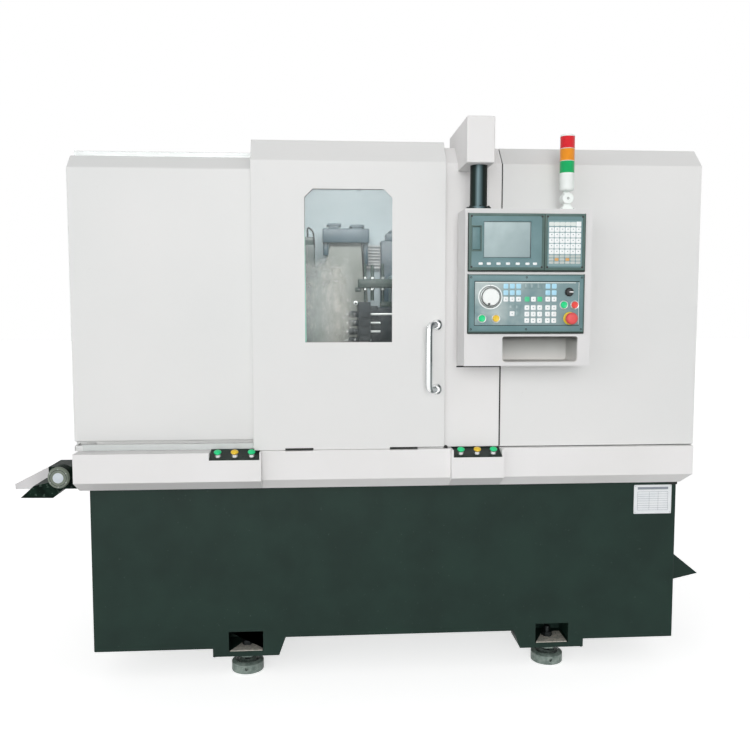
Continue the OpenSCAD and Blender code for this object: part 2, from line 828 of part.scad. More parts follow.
screen_x0 = display_x0 + 50;
screen_z1 = upper_z1 - 27;
screen_w = 158;
screen_h = 118;
card_x0 = display_x0 + 11;
card_w = 28;
card_z0 = upper_z0 + 67;
card_h = 73;
card_t = 2;
card_axis_x = card_x0 + 1.3;
card_axis_y = panel_y + card_t / 2 + slip;

module display_panel() {
  color("#5f7a79") placed() difference() {
    slab([display_x0, panel_y, upper_z0], [display_x1, box_y0, upper_z1]);
    slab([screen_x0, panel_y - eps, screen_z1 - screen_h], [screen_x0 + screen_w, box_y0 + eps, screen_z1]);
    slab([card_x0, panel_y - eps, card_z0],
         [card_x0 + card_w, panel_y + panel_t - 1.5, card_z0 + card_h]);
    rod_z(card_z0 - 2.5, card_z0 + card_h + 2.5, card_axis_x, card_axis_y, card_t + 2 * run);
  }
}

module display_screen() {
  color("#b0c2c3") placed()
    slab([screen_x0 + slip, box_y0 - 3, screen_z1 - screen_h + slip],
         [screen_x0 + screen_w - slip, box_y0, screen_z1 - slip]);
}

// small cover over the memory card's slot, on a pin at its left edge
module card_door() {
  color("#557070") placed() {
    rod_z(card_z0 - 2, card_z0 + card_h + 2, card_axis_x, card_axis_y, card_t);
    slab([card_axis_x, card_axis_y - card_t / 2, card_z0 + slip],
         [card_x0 + card_w - slip, card_axis_y + card_t / 2, card_z0 + card_h - slip]);
  }
}

module keyboard_panel() {
  color("#5f7a79") placed()
    slab([display_x1 + 0.5, panel_y, upper_z0], [keyboard_x1, box_y0, upper_z1]);
}

key_h = 1.4;
field_in = 1;
keyboard_pitch = 18.2;
operator_pitch = 21.5;

// `columns` x `rows` of membrane keys whose top left key is centred on x and z, standing on y
module keys(x, z, y, columns, rows, pitch) {
  for (c = [0 : columns - 1], r = [0 : rows - 1])
    slab([x + c * pitch - key_size / 2, y - key_h, z - r * pitch - key_size / 2],
         [x + c * pitch + key_size / 2, y, z - r * pitch + key_size / 2]);
}

// keyboard, soft keys under the screen, and the operator panel's groups
module panel_keys() {
  y = panel_y + field_in;
  x = display_x0;
  z = lower_z1;
  color("#dfe5e6") placed() {
    keys(display_x1 + 23, upper_z1 - 34, panel_y, 6, 8, keyboard_pitch);
    for (i = [0:6]) slab([x + 33 + i * 30.3, panel_y - key_h, upper_z0 + 17],
                         [x + 47 + i * 30.3, panel_y, upper_z0 + 25]);
    keys(x + 126, z - 39, y, 3, 3, operator_pitch);
    keys(x + 198, z - 82, y, 3, 1, operator_pitch);
    keys(x + 198, z - 110, y, 3, 3, operator_pitch);
    keys(x + 268, z - 39, y, 2, 3, operator_pitch);
    keys(x + 268, z - 110, y, 2, 3, operator_pitch);
    keys(x + 148, z - 130, y, 1, 1, operator_pitch);
  }
}

wheel_x = display_x0 + 74;
wheel_z = lower_z1 - 75;
push_row = lower_z1 - 146;
start_x = display_x0 + 46;
hold_x = display_x0 + 93;
on_x = display_x0 + 322;
off_x = display_x0 + 359;
on_z = lower_z1 - 101;
key_x = display_x0 + 340;
key_z = lower_z1 - 58;
estop_x = display_x0 + 343;
estop_z = lower_z1 - 146;
collar_d = 29;
collar_t = 6;
barrel = 25;
push_xz = [[start_x, push_row], [hold_x, push_row], [on_x, on_z], [off_x, on_z], [key_x, key_z]];

module operator_panel() {
  color("#5f7a79") placed() difference() {
    slab([display_x0, panel_y, lower_z0], [keyboard_x1, box_y0, lower_z1]);
    slab([display_x0 + 20, panel_y - eps, lower_z0 + 22],
         [keyboard_x1 - 16, panel_y + field_in, lower_z1 - 22]);
    for (p = push_xz) rod_y(panel_y - eps, box_y0 + eps, p[0], p[1], barrel + 2 * slip);
    rod_y(panel_y - eps, box_y0 + eps, estop_x, estop_z, barrel + 2 * slip);
    rod_y(panel_y - eps, box_y0 + eps, wheel_x, wheel_z, stem_d + 2 * run);
  }
}

// hand pulse wheel: a knurled rim, a pale dial and a finger knob, on its own shaft
module handwheel() {
  r = wheel_d / 2;
  color("#e6ebec") placed() translate([wheel_x, panel_y, wheel_z]) {
    rotate([90, 0, 0]) rotate_extrude() polygon([
      [0, 0], [r, 0], [r, 12], [r - 2, 14], [r - 6, 14], [r - 7, 12], [r - 7, 16], [0, 16]
    ]);
    rod_y(0, 22, 0, 0, stem_d);
    rod_y(-26, -16, -8, -23, 7);
  }
}

module push_collars() {
  color("#c9ccce") placed() for (p = push_xz) translate([p[0], panel_y, p[1]]) difference() {
    union() {
      rod_y(-collar_t, 1, 0, 0, collar_d);
      rod_y(0, 34, 0, 0, barrel);
    }
    rod_y(-collar_t - eps, 14, 0, 0, push_d + 2 * slip);
    rod_y(0, 34 + eps, 0, 0, stem_d + 2 * run);
  }
}

module push_button(x, z, tint) {
  color(tint) placed() translate([x, panel_y, z]) {
    rod_y(-collar_t - 4, 8, 0, 0, push_d);
    rod_y(7, 28, 0, 0, stem_d);
  }
}

module start_button() { push_button(start_x, push_row, "#24b26c"); }
module hold_button() { push_button(hold_x, push_row, "#f0c22f"); }
module power_on_button() { push_button(on_x, on_z, "#24b26c"); }
module power_off_button() { push_button(off_x, on_z, "#e2453e"); }

module key_switch() {
  color("#2b2f30") placed() translate([key_x, panel_y, key_z]) {
    rod_y(-collar_t - 2, 8, 0, 0, push_d);
    rod_y(7, 28, 0, 0, stem_d);
    slab([-3, -collar_t - 14, -9], [3, -collar_t - 1, 9]);
  }
}

module estop_button() {
  r = estop_d / 2;
  cap_h = estop_reach - estop_travel - 12;
  color("#df4a44") placed() translate([estop_x, panel_y, estop_z]) {
    translate([0, -estop_travel - 12, 0]) rotate([90, 0, 0]) rotate_extrude() polygon(concat(
      [[0, 0], [r - 2, 0], [r, 3]],
      [for (a = [0:15:90]) [r - 3 + 3 * cos(a), cap_h - 4 + 4 * sin(a)]],
      [[0, cap_h]]
    ));
    rod_y(-estop_travel - 14, 10, 0, 0, 17);
    rod_y(8, 28, 0, 0, stem_d);
  }
}

module estop_collar() {
  color("#f1c417") placed() translate([estop_x, panel_y, estop_z]) difference() {
    union() {
      rod_y(-6, 1, 0, 0, estop_d + 3);
      rod_y(0, 34, 0, 0, barrel);
    }
    rod_y(-6 - eps, 17, 0, 0, 17 + 2 * slip);
    rod_y(0, 34 + eps, 0, 0, stem_d + 2 * run);
  }
}

// ---- signal tower

tower_x = box_x1 - 69;
tower_y = tube_y + 15;
knuckle_z = box_top + 42;
knuckle_d = 38;
body_z = knuckle_z + 25;
body_h = 60;
ring = 2;
lens_z = body_z + body_h;

module tower_bracket() {
  color("#e8efeb") placed() difference() {
    union() {
      slab([tower_x - 27, tower_y - 22, box_top], [tower_x + 27, tower_y + 22, box_top + 7]);
      slab([tower_x - 9, tower_y - 19, box_top + 7], [tower_x + 9, tower_y - 2, knuckle_z]);
      rod_y(tower_y - 20, tower_y, tower_x, knuckle_z, knuckle_d);
      rod_y(tower_y - eps, tower_y + 20, tower_x, knuckle_z, 8);
    }
    rod_y(tower_y - 21, tower_y - 17, tower_x, knuckle_z, 10);
  }
}

// tilting half of the knuckle, the white body, and the rings, rod and cap that hold the lenses
module tower_body() {
  d = tower_d;
  color("#eef3f0") placed() difference() {
    union() {
      rod_y(tower_y, tower_y + 20, tower_x, knuckle_z, knuckle_d);
      slab([tower_x - 9, tower_y + 1, knuckle_z], [tower_x + 9, tower_y + 18, body_z + eps]);
      rod_z(body_z, lens_z, tower_x, tower_y, d);
      rod_z(lens_z - eps, lens_z + 3 * lens_h + 3 * ring, tower_x, tower_y, 12);
      for (i = [1, 2])
        rod_z(lens_z + i * lens_h + (i - 1) * ring, lens_z + i * (lens_h + ring), tower_x, tower_y, d - 4);
      rod_z(lens_z + 3 * lens_h + 2 * ring, lens_z + 3 * lens_h + 2 * ring + 7, tower_x, tower_y, d - 1);
    }
    rod_y(tower_y - eps, tower_y + 20 + eps, tower_x, knuckle_z, 8 + 2 * run);
  }
}

module lens(i, tint) {
  z0 = lens_z + i * (lens_h + ring);
  color(tint) placed() difference() {
    rod_z(z0, z0 + lens_h, tower_x, tower_y, tower_d);
    rod_z(z0 - eps, z0 + lens_h + eps, tower_x, tower_y, tower_d - 6);
  }
}

module green_lens() { lens(0, "#19a54b"); }
module amber_lens() { lens(1, "#f0941c"); }
module red_lens() { lens(2, "#d8262c"); }

// ---- side fittings

conveyor_y0 = 60;
conveyor_y1 = 200;
motor_x = -half_w - 117;
motor_z = base_top + 37;
end_x = -tray_x - 1;
tray_y1 = 310;
tray_t = 2;

// housing of the short parts conveyor that leaves the machine's left end
module conveyor_frame() {
  z = base_top;
  x = -half_w;
  color("#22332c") placed() difference() {
    along_y(conveyor_y0, conveyor_y1) polygon([
      [end_x, z + 66], [x - 168, z + 66], [x - 168, z + 47], [x - 150, z + 30], [x - 150, z + 14],
      [x - 182, z + 6], [x - 223, z - 3], [x - 270, z - 46], [x - 156, z - 48], [x - 119, z - 15], [x, z - 15],
      [x, z - 3], [end_x + 6, z + tray_bevel - 12], [end_x, z + tray_bevel - 5]
    ]);
    along_y(conveyor_y0 + 6, conveyor_y1 - 6) polygon([
      [x - 160, z + 58], [x - 160, z + 49], [x - 144, z + 34], [x - 144, z + 9], [x - 180, z],
      [x - 220, z - 9], [x - 268, z - 54], [x - 165, z - 56], [x - 124, z - 9], [x - 60, z - 9],
      [x - 60, z + 20], [x - 100, z + 58]
    ]);
  }
}

module gear_motor() {
  color("#6f7a6c") placed() {
    rod_y(12, conveyor_y0, motor_x, motor_z, motor_d);
    rod_y(0, 12, motor_x, motor_z, motor_d - 8);
  }
}

// folded sheet tray behind the conveyor: a sloping floor, a high front wall and a low rear one
module parts_tray() {
  x = -half_w;
  tip = x - tray_reach;
  z = base_top;
  front_wall = [
    [end_x, z + 62], [tip + 164, z + 59], [tip, z - 25], [tip + 3, z - 44], [tip + 70, z - 44],
    [end_x, z + 20]
  ];
  rear_wall = [[end_x, z + 34], [tip + 60, z - 40], [tip + 60, z - 44], [tip + 70, z - 44], [end_x, z + 20]];
  color("#d9d9d8") placed() {
    along_y(conveyor_y1, conveyor_y1 + tray_t) polygon(front_wall);
    along_y(tray_y1 - tray_t, tray_y1) polygon(rear_wall);
    along_y(conveyor_y1, tray_y1) polygon([
      [tip + 3, z - 44], [tip + 70, z - 44], [end_x, z + 20], [end_x, z + 22.4],
      [tip + 69, z - 42], [tip + 3, z - 42]
    ]);
    slab([end_x - tray_t, conveyor_y1, z + 20], [end_x + 1, tray_y1, z + 34]);
  }
}

// ---- lathe inside the guarding

module machine_bed() {
  bays = 6;
  rib = 40;
  bay_w = (bed_x1 - bed_x0 - (bays + 1) * rib) / bays;
  color("#b9beb8") placed() {
    difference() {
      slab([bed_x0, bed_y0, tray_floor], [bed_x1, bed_y1, bed_top]);
      for (i = [0 : bays - 1]) {
        x = bed_x0 + rib + i * (bay_w + rib);
        slab([x, bed_y0 + rib, tray_floor - eps], [x + bay_w, bed_y1 - rib, bed_top - 45]);
      }
    }
    along_y(700, bed_y1) polygon([
      [-275, bed_top - eps], [-190, bed_top + 720], [-62, bed_top + 720], [28, bed_top - eps]
    ]);
  }
}

module headstock() {
  color("#7f8c8f") placed() difference() {
    slab([head_x0, bed_y0, bed_top], [head_x1, head_y1, axis_z + 140]);
    rod_x(head_x0 - eps, head_x1 + eps, spindle_back, axis_z, spindle_d + 2 * run);
  }
}

module spindle() {
  color("#b4b8ba") placed() difference() {
    union() {
      rod_x(head_x0 - 20, head_x1 + slip + 1, spindle_back, axis_z, spindle_d);
      rod_x(head_x1 + slip, head_x1 + 22, spindle_back, axis_z, spindle_d + 30);
      rod_x(head_x1 + 20, nose_x, spindle_back, axis_z, spindle_d - 8);
      rod_x(head_x0 - 62, head_x0 - 20, spindle_back, axis_z, spindle_d + 50);
    }
    rod_x(head_x0 - 62 - eps, nose_x + eps, spindle_back, axis_z, spindle_bore);
  }
}

module spindle_motor() {
  y = 680;
  z = bed_top + 112;
  color("#4b5357") placed() {
    rod_x(head_x0 + 40, head_x1 - 140, y, z, 190);
    rod_x(head_x0 - 20, head_x0 + 41, y, z, 38);
    rod_x(head_x0 - 62, head_x0 - 20, y, z, 90);
    slab([head_x0 + 90, y - 80, bed_top], [head_x1 - 190, y + 80, z - 60]);
  }
}

way_ys = [350, 530];
way_w = 25;
way_h = 22;

module linear_rails() {
  color("#a9adae") placed() for (y = way_ys)
    slab([head_x1 + 85, y - way_w / 2, bed_top], [bed_x1 - 40, y + way_w / 2, bed_top + way_h]);
}

saddle_x0 = 40;
saddle_x1 = 320;
saddle_z = bed_top + way_h;
slide_z = saddle_z + 68;
key_w = 160;
key_x0 = saddle_x0 + 60;
key_top = slide_z + 25;

module z_slide() {
  color("#6d7679") placed() difference() {
    union() {
      slab([saddle_x0, way_ys[0] - 40, bed_top + 6], [saddle_x1, way_ys[1] + 40, slide_z - 30]);
      slab([saddle_x0 + 20, 200, slide_z - 30], [saddle_x1 - 20, 640, slide_z]);
      slab([key_x0, 200, slide_z - eps], [key_x0 + key_w, 640, key_top]);
    }
    for (y = way_ys) slab([saddle_x0 - eps, y - way_w / 2 - slip, bed_top],
                          [saddle_x1 + eps, y + way_w / 2 + slip, saddle_z]);
  }
}

block_x0 = -104;
block_x1 = -58;
block_y0 = 200;
block_y1 = 330;
table_z = key_top + 45;
post_x0 = 30;
post_x1 = 150;
manifold_z0 = axis_z + 136;
manifold_z1 = manifold_z0 + 35;

module x_slide() {
  color("#3b474b") placed() {
    difference() {
      slab([block_x0 - 6, 180, slide_z + 2], [saddle_x1 - 30, 480, table_z]);
      slab([block_x0 - 6 - eps, 180 - eps, slide_z], [saddle_x0 + 30, 480 + eps, key_top]);
      slab([key_x0 - slip, 180 - eps, slide_z], [key_x0 + key_w + slip, 480 + eps, key_top]);
    }
    slab([post_x0, block_y1, table_z], [post_x1, block_y1 + 100, manifold_z1 + 16]);
  }
}

tool_y = 250;
tool_zs = [for (i = [-1:2]) axis_z - i * tool_pitch];

module tool_block() {
  color("#2e3d41") placed() difference() {
    slab([block_x0, block_y0, table_z], [block_x1, block_y1, axis_z + 80]);
    for (z = tool_zs) rod_x(block_x0 - eps, block_x1 + eps, tool_y, z, shank_d + 2 * run);
  }
}

module tool_holders() {
  color("#9ba1a3") placed() for (z = tool_zs) {
    rod_x(block_x0 - 1, 24, tool_y, z, shank_d);
    rod_x(block_x0 - 39, block_x0, tool_y, z, shank_d + 12);
    rod_x(block_x0 - 56, block_x0 - 38, tool_y, z, shank_d / 2);
  }
}

module coolant_manifold() {
  y = block_y1 - 20;
  color("#2d4a3c") placed() {
    slab([block_x0 + 3, block_y1 - 40, manifold_z0], [post_x1 - 20, block_y1, manifold_z1]);
    for (x = [-70, -19, 70]) rod_z(manifold_z1 - eps, manifold_z1 + 60, x, y, 12);
    rod_z(axis_z + 80, manifold_z0 + eps, -81, y, 12);
  }
}

tank_x0 = -280;
tank_x1 = half_w - 20;
tank_y1 = base_d - pocket_depth - 126;

module coolant_tank() {
  w = 5;
  tip = half_w + spout_reach;
  color("#1f332b") placed() difference() {
    union() {
      slab([tank_x0, spout_y0, tank_z0], [tank_x1, tank_y1, tank_top - 8]);
      along_y(spout_y0, spout_y1) polygon([
        [tank_x1 - eps, tank_top - 8], [tip, spout_tip_z], [tank_x1 - eps, spout_low]
      ]);
    }
    slab([tank_x0 + w, spout_y0 + w, tank_z0 + w], [tank_x1 - w, tank_y1 - w, tank_top]);
    along_y(spout_y0 + w, spout_y1 - w) polygon([
      [tank_x1 - 2 * w, tank_top], [tip + 20, tank_top], [tip + 20, spout_tip_z + 24],
      [tip - 2 * w, spout_tip_z + w], [tank_x1 - w - eps, spout_low + w]
    ]);
  }
}

base_frame();
foot_brackets();
leveling_screws();
leveling_pads();
drip_tray();
button_plates();
button_collars();
left_button_1();
left_button_2();
left_button_3();
right_button_1();
right_button_2();
right_button_3();
left_cover();
column_cover();
right_cover();
cabin_roof();
cabinet_door();
door_panel();
door_window();
door_handle();
door_rails();
door_carriages();
overhead_arm();
pendant_tube();
control_box();
display_panel();
display_screen();
card_door();
keyboard_panel();
panel_keys();
operator_panel();
handwheel();
start_button();
hold_button();
power_on_button();
power_off_button();
push_collars();
key_switch();
estop_button();
estop_collar();
tower_bracket();
tower_body();
red_lens();
amber_lens();
green_lens();
parts_tray();
gear_motor();
conveyor_frame();
machine_bed();
headstock();
spindle();
spindle_motor();
linear_rails();
z_slide();
x_slide();
tool_block();
tool_holders();
coolant_manifold();
coolant_tank();
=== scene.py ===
import math

import bmesh
import bpy
import mathutils
from mathutils import Matrix, Vector


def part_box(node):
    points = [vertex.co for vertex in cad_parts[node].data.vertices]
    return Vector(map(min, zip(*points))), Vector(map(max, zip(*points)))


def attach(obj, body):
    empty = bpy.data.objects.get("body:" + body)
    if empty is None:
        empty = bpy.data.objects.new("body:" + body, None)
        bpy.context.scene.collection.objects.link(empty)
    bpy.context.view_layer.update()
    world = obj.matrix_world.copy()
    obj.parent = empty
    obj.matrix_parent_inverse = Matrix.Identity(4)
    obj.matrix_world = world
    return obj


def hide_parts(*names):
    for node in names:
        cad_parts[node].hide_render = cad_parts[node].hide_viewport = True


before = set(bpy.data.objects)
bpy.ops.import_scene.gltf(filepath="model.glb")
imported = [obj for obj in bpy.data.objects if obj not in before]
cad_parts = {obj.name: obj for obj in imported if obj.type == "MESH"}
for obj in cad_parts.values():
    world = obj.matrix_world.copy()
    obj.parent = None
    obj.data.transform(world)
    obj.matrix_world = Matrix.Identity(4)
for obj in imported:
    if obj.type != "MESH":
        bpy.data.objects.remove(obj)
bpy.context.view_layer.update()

scene = bpy.context.scene
scene.view_settings.view_transform = "Standard"

# Every size below is in millimetres from the middle of the base's front edge, on the floor.
baseLow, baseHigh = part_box("base_frame")
toRow = Matrix.Translation(((baseLow.x + baseHigh.x) / 2, baseLow.y, 0)) @ Matrix.Scale(0.001, 4)
toUser, outBack, upward, toLeft, toRight = (0, -1, 0), (0, 1, 0), (0, 0, 1), (-1, 0, 0), (1, 0, 0)


def at(x, y, z):
    return toRow @ Vector((x, y, z))


def boxOf(node):
    low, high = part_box(node)
    back = toRow.inverted()
    return back @ low, back @ high


# ---- camera, lamps and floor
lens = {"place": (-254.58, -2884.45, 1341.10), "turn": (85.255, 0, -3.95), "length": 38.81, "sensor": 36}

cameraData = bpy.data.cameras.new("camera")
cameraData.lens = lens["length"]
cameraData.sensor_width = lens["sensor"]
camera = bpy.data.objects.new("camera", cameraData)
camera.location = at(*lens["place"])
camera.rotation_euler = [math.radians(a) for a in lens["turn"]]
scene.collection.objects.link(camera)
scene.camera = camera

studio = {
    # lamp: (direction it comes from, strength, angle of its disc in degrees)
    "keyLamp": ((-0.04, -1.0, 0.24), 0.82, 30),
    "fillLamp": ((-0.90, -1.0, 0.10), 0.88, 60),
    "lowLamp": ((-0.10, -1.0, 0.03), 0.40, 24),
    "skyLow": 0.74, "skyHigh": 0.22, "floorSize": 60.0, "floorGlow": 0.66, "white": (1, 1, 1, 1),
}


def toLinear(hexColour):
    parts = [int(hexColour[i:i + 2], 16) / 255 for i in (1, 3, 5)]
    return tuple(c / 12.92 if c <= 0.04045 else ((c + 0.055) / 1.055) ** 2.4 for c in parts) + (1.0,)


class Nodes:
    # a node tree being wired: add() gives a new node's outputs, the others the one output that is read next
    def __init__(self, tree):
        self.tree = tree
        tree.nodes.clear()

    def add(self, kind, inputs=None, **settings):
        node = self.tree.nodes.new(kind)
        for key, value in settings.items():
            setattr(node, key, value)
        for key, value in (inputs or {}).items():
            if isinstance(value, bpy.types.NodeSocket):
                self.tree.links.new(value, node.inputs[key])
            else:
                node.inputs[key].default_value = value
        return node.outputs

    def combine(self, operation, a, b, **settings):
        return self.add("ShaderNodeMath", {0: a, 1: b}, operation=operation, **settings)[0]

    def scale(self, value, fromLow=0.0, fromHigh=1.0, toLow=0.0, toHigh=1.0, **settings):
        return self.add("ShaderNodeMapRange", {"Value": value, "From Min": fromLow, "From Max": fromHigh,
                                               "To Min": toLow, "To Max": toHigh}, **settings)[0]

    def split(self, vector):
        return self.add("ShaderNodeSeparateXYZ", {0: vector})

    def seenByCamera(self):
        # 1 on what the camera sees, straight, mirrored or through glass, and 0 on the light that falls on
        # the part
        rays = self.add("ShaderNodeLightPath")
        seen = self.combine("MAXIMUM", rays["Is Camera Ray"], rays["Is Glossy Ray"])
        return self.combine("MAXIMUM", seen, rays["Is Transmission Ray"])


def addLamp(name, kind, comesFrom, energy, **settings):
    lamp = bpy.data.lights.new(name, kind)
    lamp.energy = energy
    for key, value in settings.items():
        setattr(lamp, key, value)
    holder = bpy.data.objects.new(name, lamp)
    holder.rotation_mode = "QUATERNION"
    holder.rotation_quaternion = (-Vector(comesFrom)).to_track_quat("-Z", "Y")
    scene.collection.objects.link(holder)
    return holder


for name in ("keyLamp", "fillLamp", "lowLamp"):
    comesFrom, strength, disc = studio[name]
    addLamp(name, "SUN", comesFrom, strength, angle=math.radians(disc))

world = bpy.data.worlds.new("studioWorld")
scene.world = world
world.use_nodes = True
sky = Nodes(world.node_tree)
seen = sky.seenByCamera()
height = sky.split(sky.add("ShaderNodeTexCoord")["Generated"])["Z"]
fall = sky.scale(height, 0.0, 0.9, studio["skyLow"], studio["skyHigh"])
level = sky.scale(seen, 0.0, 1.0, fall, 1.0)
glow = sky.add("ShaderNodeBackground", {"Color": studio["white"], "Strength": level})[0]
sky.add("ShaderNodeOutputWorld", {"Surface": glow})

# the floor is a white studio sweep that only shows the soft shadow under the machine
floorFinish = bpy.data.materials.new("studioSweep")
floorFinish.use_nodes = True
sweep = Nodes(floorFinish.node_tree)
share = sweep.combine("MULTIPLY", sweep.seenByCamera(), studio["floorGlow"])
matt = sweep.add("ShaderNodeBsdfDiffuse", {"Color": (0.9, 0.9, 0.9, 1)})[0]
glow = sweep.add("ShaderNodeEmission", {"Color": studio["white"], "Strength": share})[0]
both = sweep.add("ShaderNodeAddShader", {0: matt, 1: glow})[0]
sweep.add("ShaderNodeOutputMaterial", {"Surface": both})
floorMesh = bpy.data.meshes.new("floor")
half = studio["floorSize"] / 2
floorMesh.from_pydata([(-half, -half, 0), (half, -half, 0), (half, half, 0), (-half, half, 0)], [],
                      [(0, 1, 2, 3)])
floorMesh.materials.append(floorFinish)
floor = bpy.data.objects.new("floor", floorMesh)
scene.collection.objects.link(floor)
print("camera, lamps and floor are in place")


# ---- finishes
class Finish(Nodes):
    # a material in the making, mapped in the object's own metres
    def __init__(self, name):
        self.material = bpy.data.materials.new(name)
        self.material.use_nodes = True
        super().__init__(self.material.node_tree)
        self.place = self.add("ShaderNodeTexCoord")["Object"]

    def noise(self, sizeMm, detail=3.0, rough=0.5, stretch=None):
        place = self.place
        if stretch:
            place = self.add("ShaderNodeMapping", {"Vector": place, "Scale": stretch})[0]
        return self.add("ShaderNodeTexNoise", {
            "Vector": place, "Scale": 1000 / sizeMm, "Detail": detail, "Roughness": rough})["Fac"]

    def mix(self, share, first, second):
        first, second = (toLinear(c) if isinstance(c, str) else c for c in (first, second))
        return self.add("ShaderNodeMix", {0: share, 6: first, 7: second}, data_type="RGBA")[2]

    def ramp(self, value, stops):
        # stops: (place from 0 to 1, hex colour or a plain grey level)
        node = self.add("ShaderNodeValToRGB", {"Fac": value})[0].node
        spare = node.color_ramp.elements
        for k, (spot, colour) in enumerate(stops):
            stop = spare[k] if k < 2 else spare.new(spot)
            stop.position = spot
            stop.color = toLinear(colour) if isinstance(colour, str) else (colour, colour, colour, 1)
        return node.outputs[0]

    def shade(self, colour, rough, **more):
        # more: sockets of the shader, such as Coat_Weight=0.4
        inputs = {"Base Color": colour, "Roughness": rough}
        inputs.update({key.replace("_", " "): value for key, value in more.items()})
        self.shader = self.add("ShaderNodeBsdfPrincipled", inputs)[0].node

    def close(self, height, depthMm):
        bump = self.add("ShaderNodeBump", {"Strength": 1.0, "Distance": depthMm / 1000, "Height": height})[0]
        self.tree.links.new(bump, self.shader.inputs["Normal"])
        self.add("ShaderNodeOutputMaterial", {"Surface": self.shader.outputs[0]})
        return self.material


def paintedSteel(name, colour, drift, speck, driftMm, specks, peel, rough, shine=0.5):
    # baked powder or enamel over sheet: a colour that drifts a little, fine peel, and specks of dust and rub
    # specks: (size, noise level where they start, strength), peel: (size, depth)
    finish = Finish(name)
    size, start, share = specks
    tint = finish.mix(finish.scale(finish.noise(driftMm, 4.0), 0.35, 0.65), colour, drift)
    marked = finish.scale(finish.noise(size, 2.0, 0.7), start, start + 0.06)
    tint = finish.mix(finish.combine("MULTIPLY", marked, share), tint, speck)
    gloss = finish.scale(finish.noise(60, 3.0), 0.0, 1.0, rough - 0.06, rough + 0.06)
    finish.shade(tint, gloss, Specular_IOR_Level=shine)
    return finish.close(finish.noise(peel[0], 2.0), peel[1])


def workedMetal(name, colour, drift, rough, lineMm, stretch, depthMm, smudgeMm=45, metal=1.0):
    # bare metal keeps the lines of the tool that cut, ground or rolled it: stretched scratches and smudged
    # gloss
    finish = Finish(name)
    lines = finish.noise(lineMm, 4.0, 0.6, stretch)
    smudge = finish.noise(smudgeMm, 4.0, 0.6)
    tint = finish.mix(smudge, colour, drift)
    gloss = finish.scale(finish.combine("MULTIPLY", lines, smudge), 0.0, 0.5, rough - 0.07, rough + 0.10)
    finish.shade(tint, gloss, Metallic=metal)
    return finish.close(lines, depthMm)


def mouldedPlastic(name, colour, drift, rough, shine=0.5, wearMm=22, coat=0.0):
    # injection moulding: even colour, a fine spark-eroded grain in the gloss, faint handling marks
    finish = Finish(name)
    wear = finish.noise(wearMm, 4.0, 0.6)
    tint = finish.mix(wear, colour, drift)
    gloss = finish.scale(wear, 0.0, 1.0, rough - 0.05, rough + 0.08)
    finish.shade(tint, gloss, IOR=1.5, Specular_IOR_Level=shine, Coat_Weight=coat, Coat_Roughness=0.08)
    return finish.close(finish.noise(1.2, 2.0), 0.02)


# Powder coat on the big sheets: near-white, satin, peel of 2 mm drawn at 4 mm so that it shows in a close
# view
whiteCoat = paintedSteel(
    "powderCoatedSheetWhite", "#e6e6e5", "#e2e3e2", "#cfd0cd", driftMm=700, specks=(14, 0.7, 0.15),
    peel=(4, 0.02), rough=0.42, shine=0.3)
# The skirt, column and arm: a warm white, paler than the big sheets, raised to stand in for light where the
# door, arm and box shade them: painted light
warmPaintedLightCoat = paintedSteel(
    "powderCoatedSheetWarmWhite", "#efeeee", "#eae9e8", "#d2d3cf", driftMm=500, specks=(12, 0.69, 0.15),
    peel=(4, 0.01), rough=0.5, shine=0.1)
# Roof and rear sheets collect workshop dust: greyer and duller
greyCoat = paintedSteel(
    "powderCoatedSheetPaleGrey", "#d6d7d6", "#cdcfce", "#b4b7b4", driftMm=420, specks=(16, 0.66, 0.15),
    peel=(4, 0.03), rough=0.5)
# Brushed enamel over welded plate: black-green and mottled, glossy, with rubbed spots where oil was wiped off
greenEnamel = paintedSteel(
    "enamelledPlateDarkGreen", "#182b25", "#1d322b", "#4c5c55", driftMm=160, specks=(11, 0.7, 0.35),
    peel=(6, 0.05), rough=0.42, shine=0.18)
# Button plates: the same green, newer and darker
deepEnamel = paintedSteel(
    "enamelledSheetDeepGreen", "#14231e", "#1e2f29", "#3c4a45", driftMm=45, specks=(7, 0.68, 0.4),
    peel=(5, 0.05), rough=0.3, shine=0.25)
# Control box: fine-textured powder, pale and matt
boxCoat = paintedSteel(
    "texturedPowderBoxWhite", "#e4e3e3", "#dddddd", "#c6c7c5", driftMm=260, specks=(8, 0.7, 0.15),
    peel=(1.6, 0.04), rough=0.55)
# Machine castings: filled and spray-painted iron, soft waviness under a blue-grey gloss
castPaint = paintedSteel(
    "paintedCastIronBlueGrey", "#71888c", "#667c81", "#4d5d60", driftMm=90, specks=(9, 0.66, 0.4),
    peel=(9, 0.12), rough=0.38)
bedPaint = paintedSteel(
    "paintedCastIronBeige", "#b3b8b1", "#a4aaa4", "#7b807a", driftMm=120, specks=(12, 0.64, 0.4),
    peel=(9, 0.12), rough=0.42)
motorCoat = paintedSteel(
    "paintedAluminiumOliveGrey", "#737d6f", "#646e62", "#8a9690", driftMm=30, specks=(4, 0.66, 0.4),
    peel=(3, 0.06), rough=0.42)
panelCoat = paintedSteel(
    "anodisedPanelTealGrey", "#5a7d80", "#6a8c90", "#4c6a6c", driftMm=110, specks=(3, 0.62, 0.2),
    peel=(1.0, 0.01), rough=0.46)
bezelCoat = paintedSteel(
    "diecastBezelTealGreen", "#44605a", "#4d6963", "#2f4742", driftMm=40, specks=(3, 0.62, 0.3),
    peel=(1.4, 0.03), rough=0.4)
# near-black: seals, and the painted shadow in the seams of the covers
seamShadow = paintedSteel(
    "rubberSealBlack", "#141615", "#1f2221", "#33372f", driftMm=30, specks=(3, 0.66, 0.2), peel=(1.5, 0.05),
    rough=0.8)
pipeGreen = paintedSteel(
    "paintedPipeGreenGrey", "#1b2f29", "#293d36", "#6d7b78", driftMm=30, specks=(4, 0.62, 0.5),
    peel=(3, 0.05), rough=0.35)
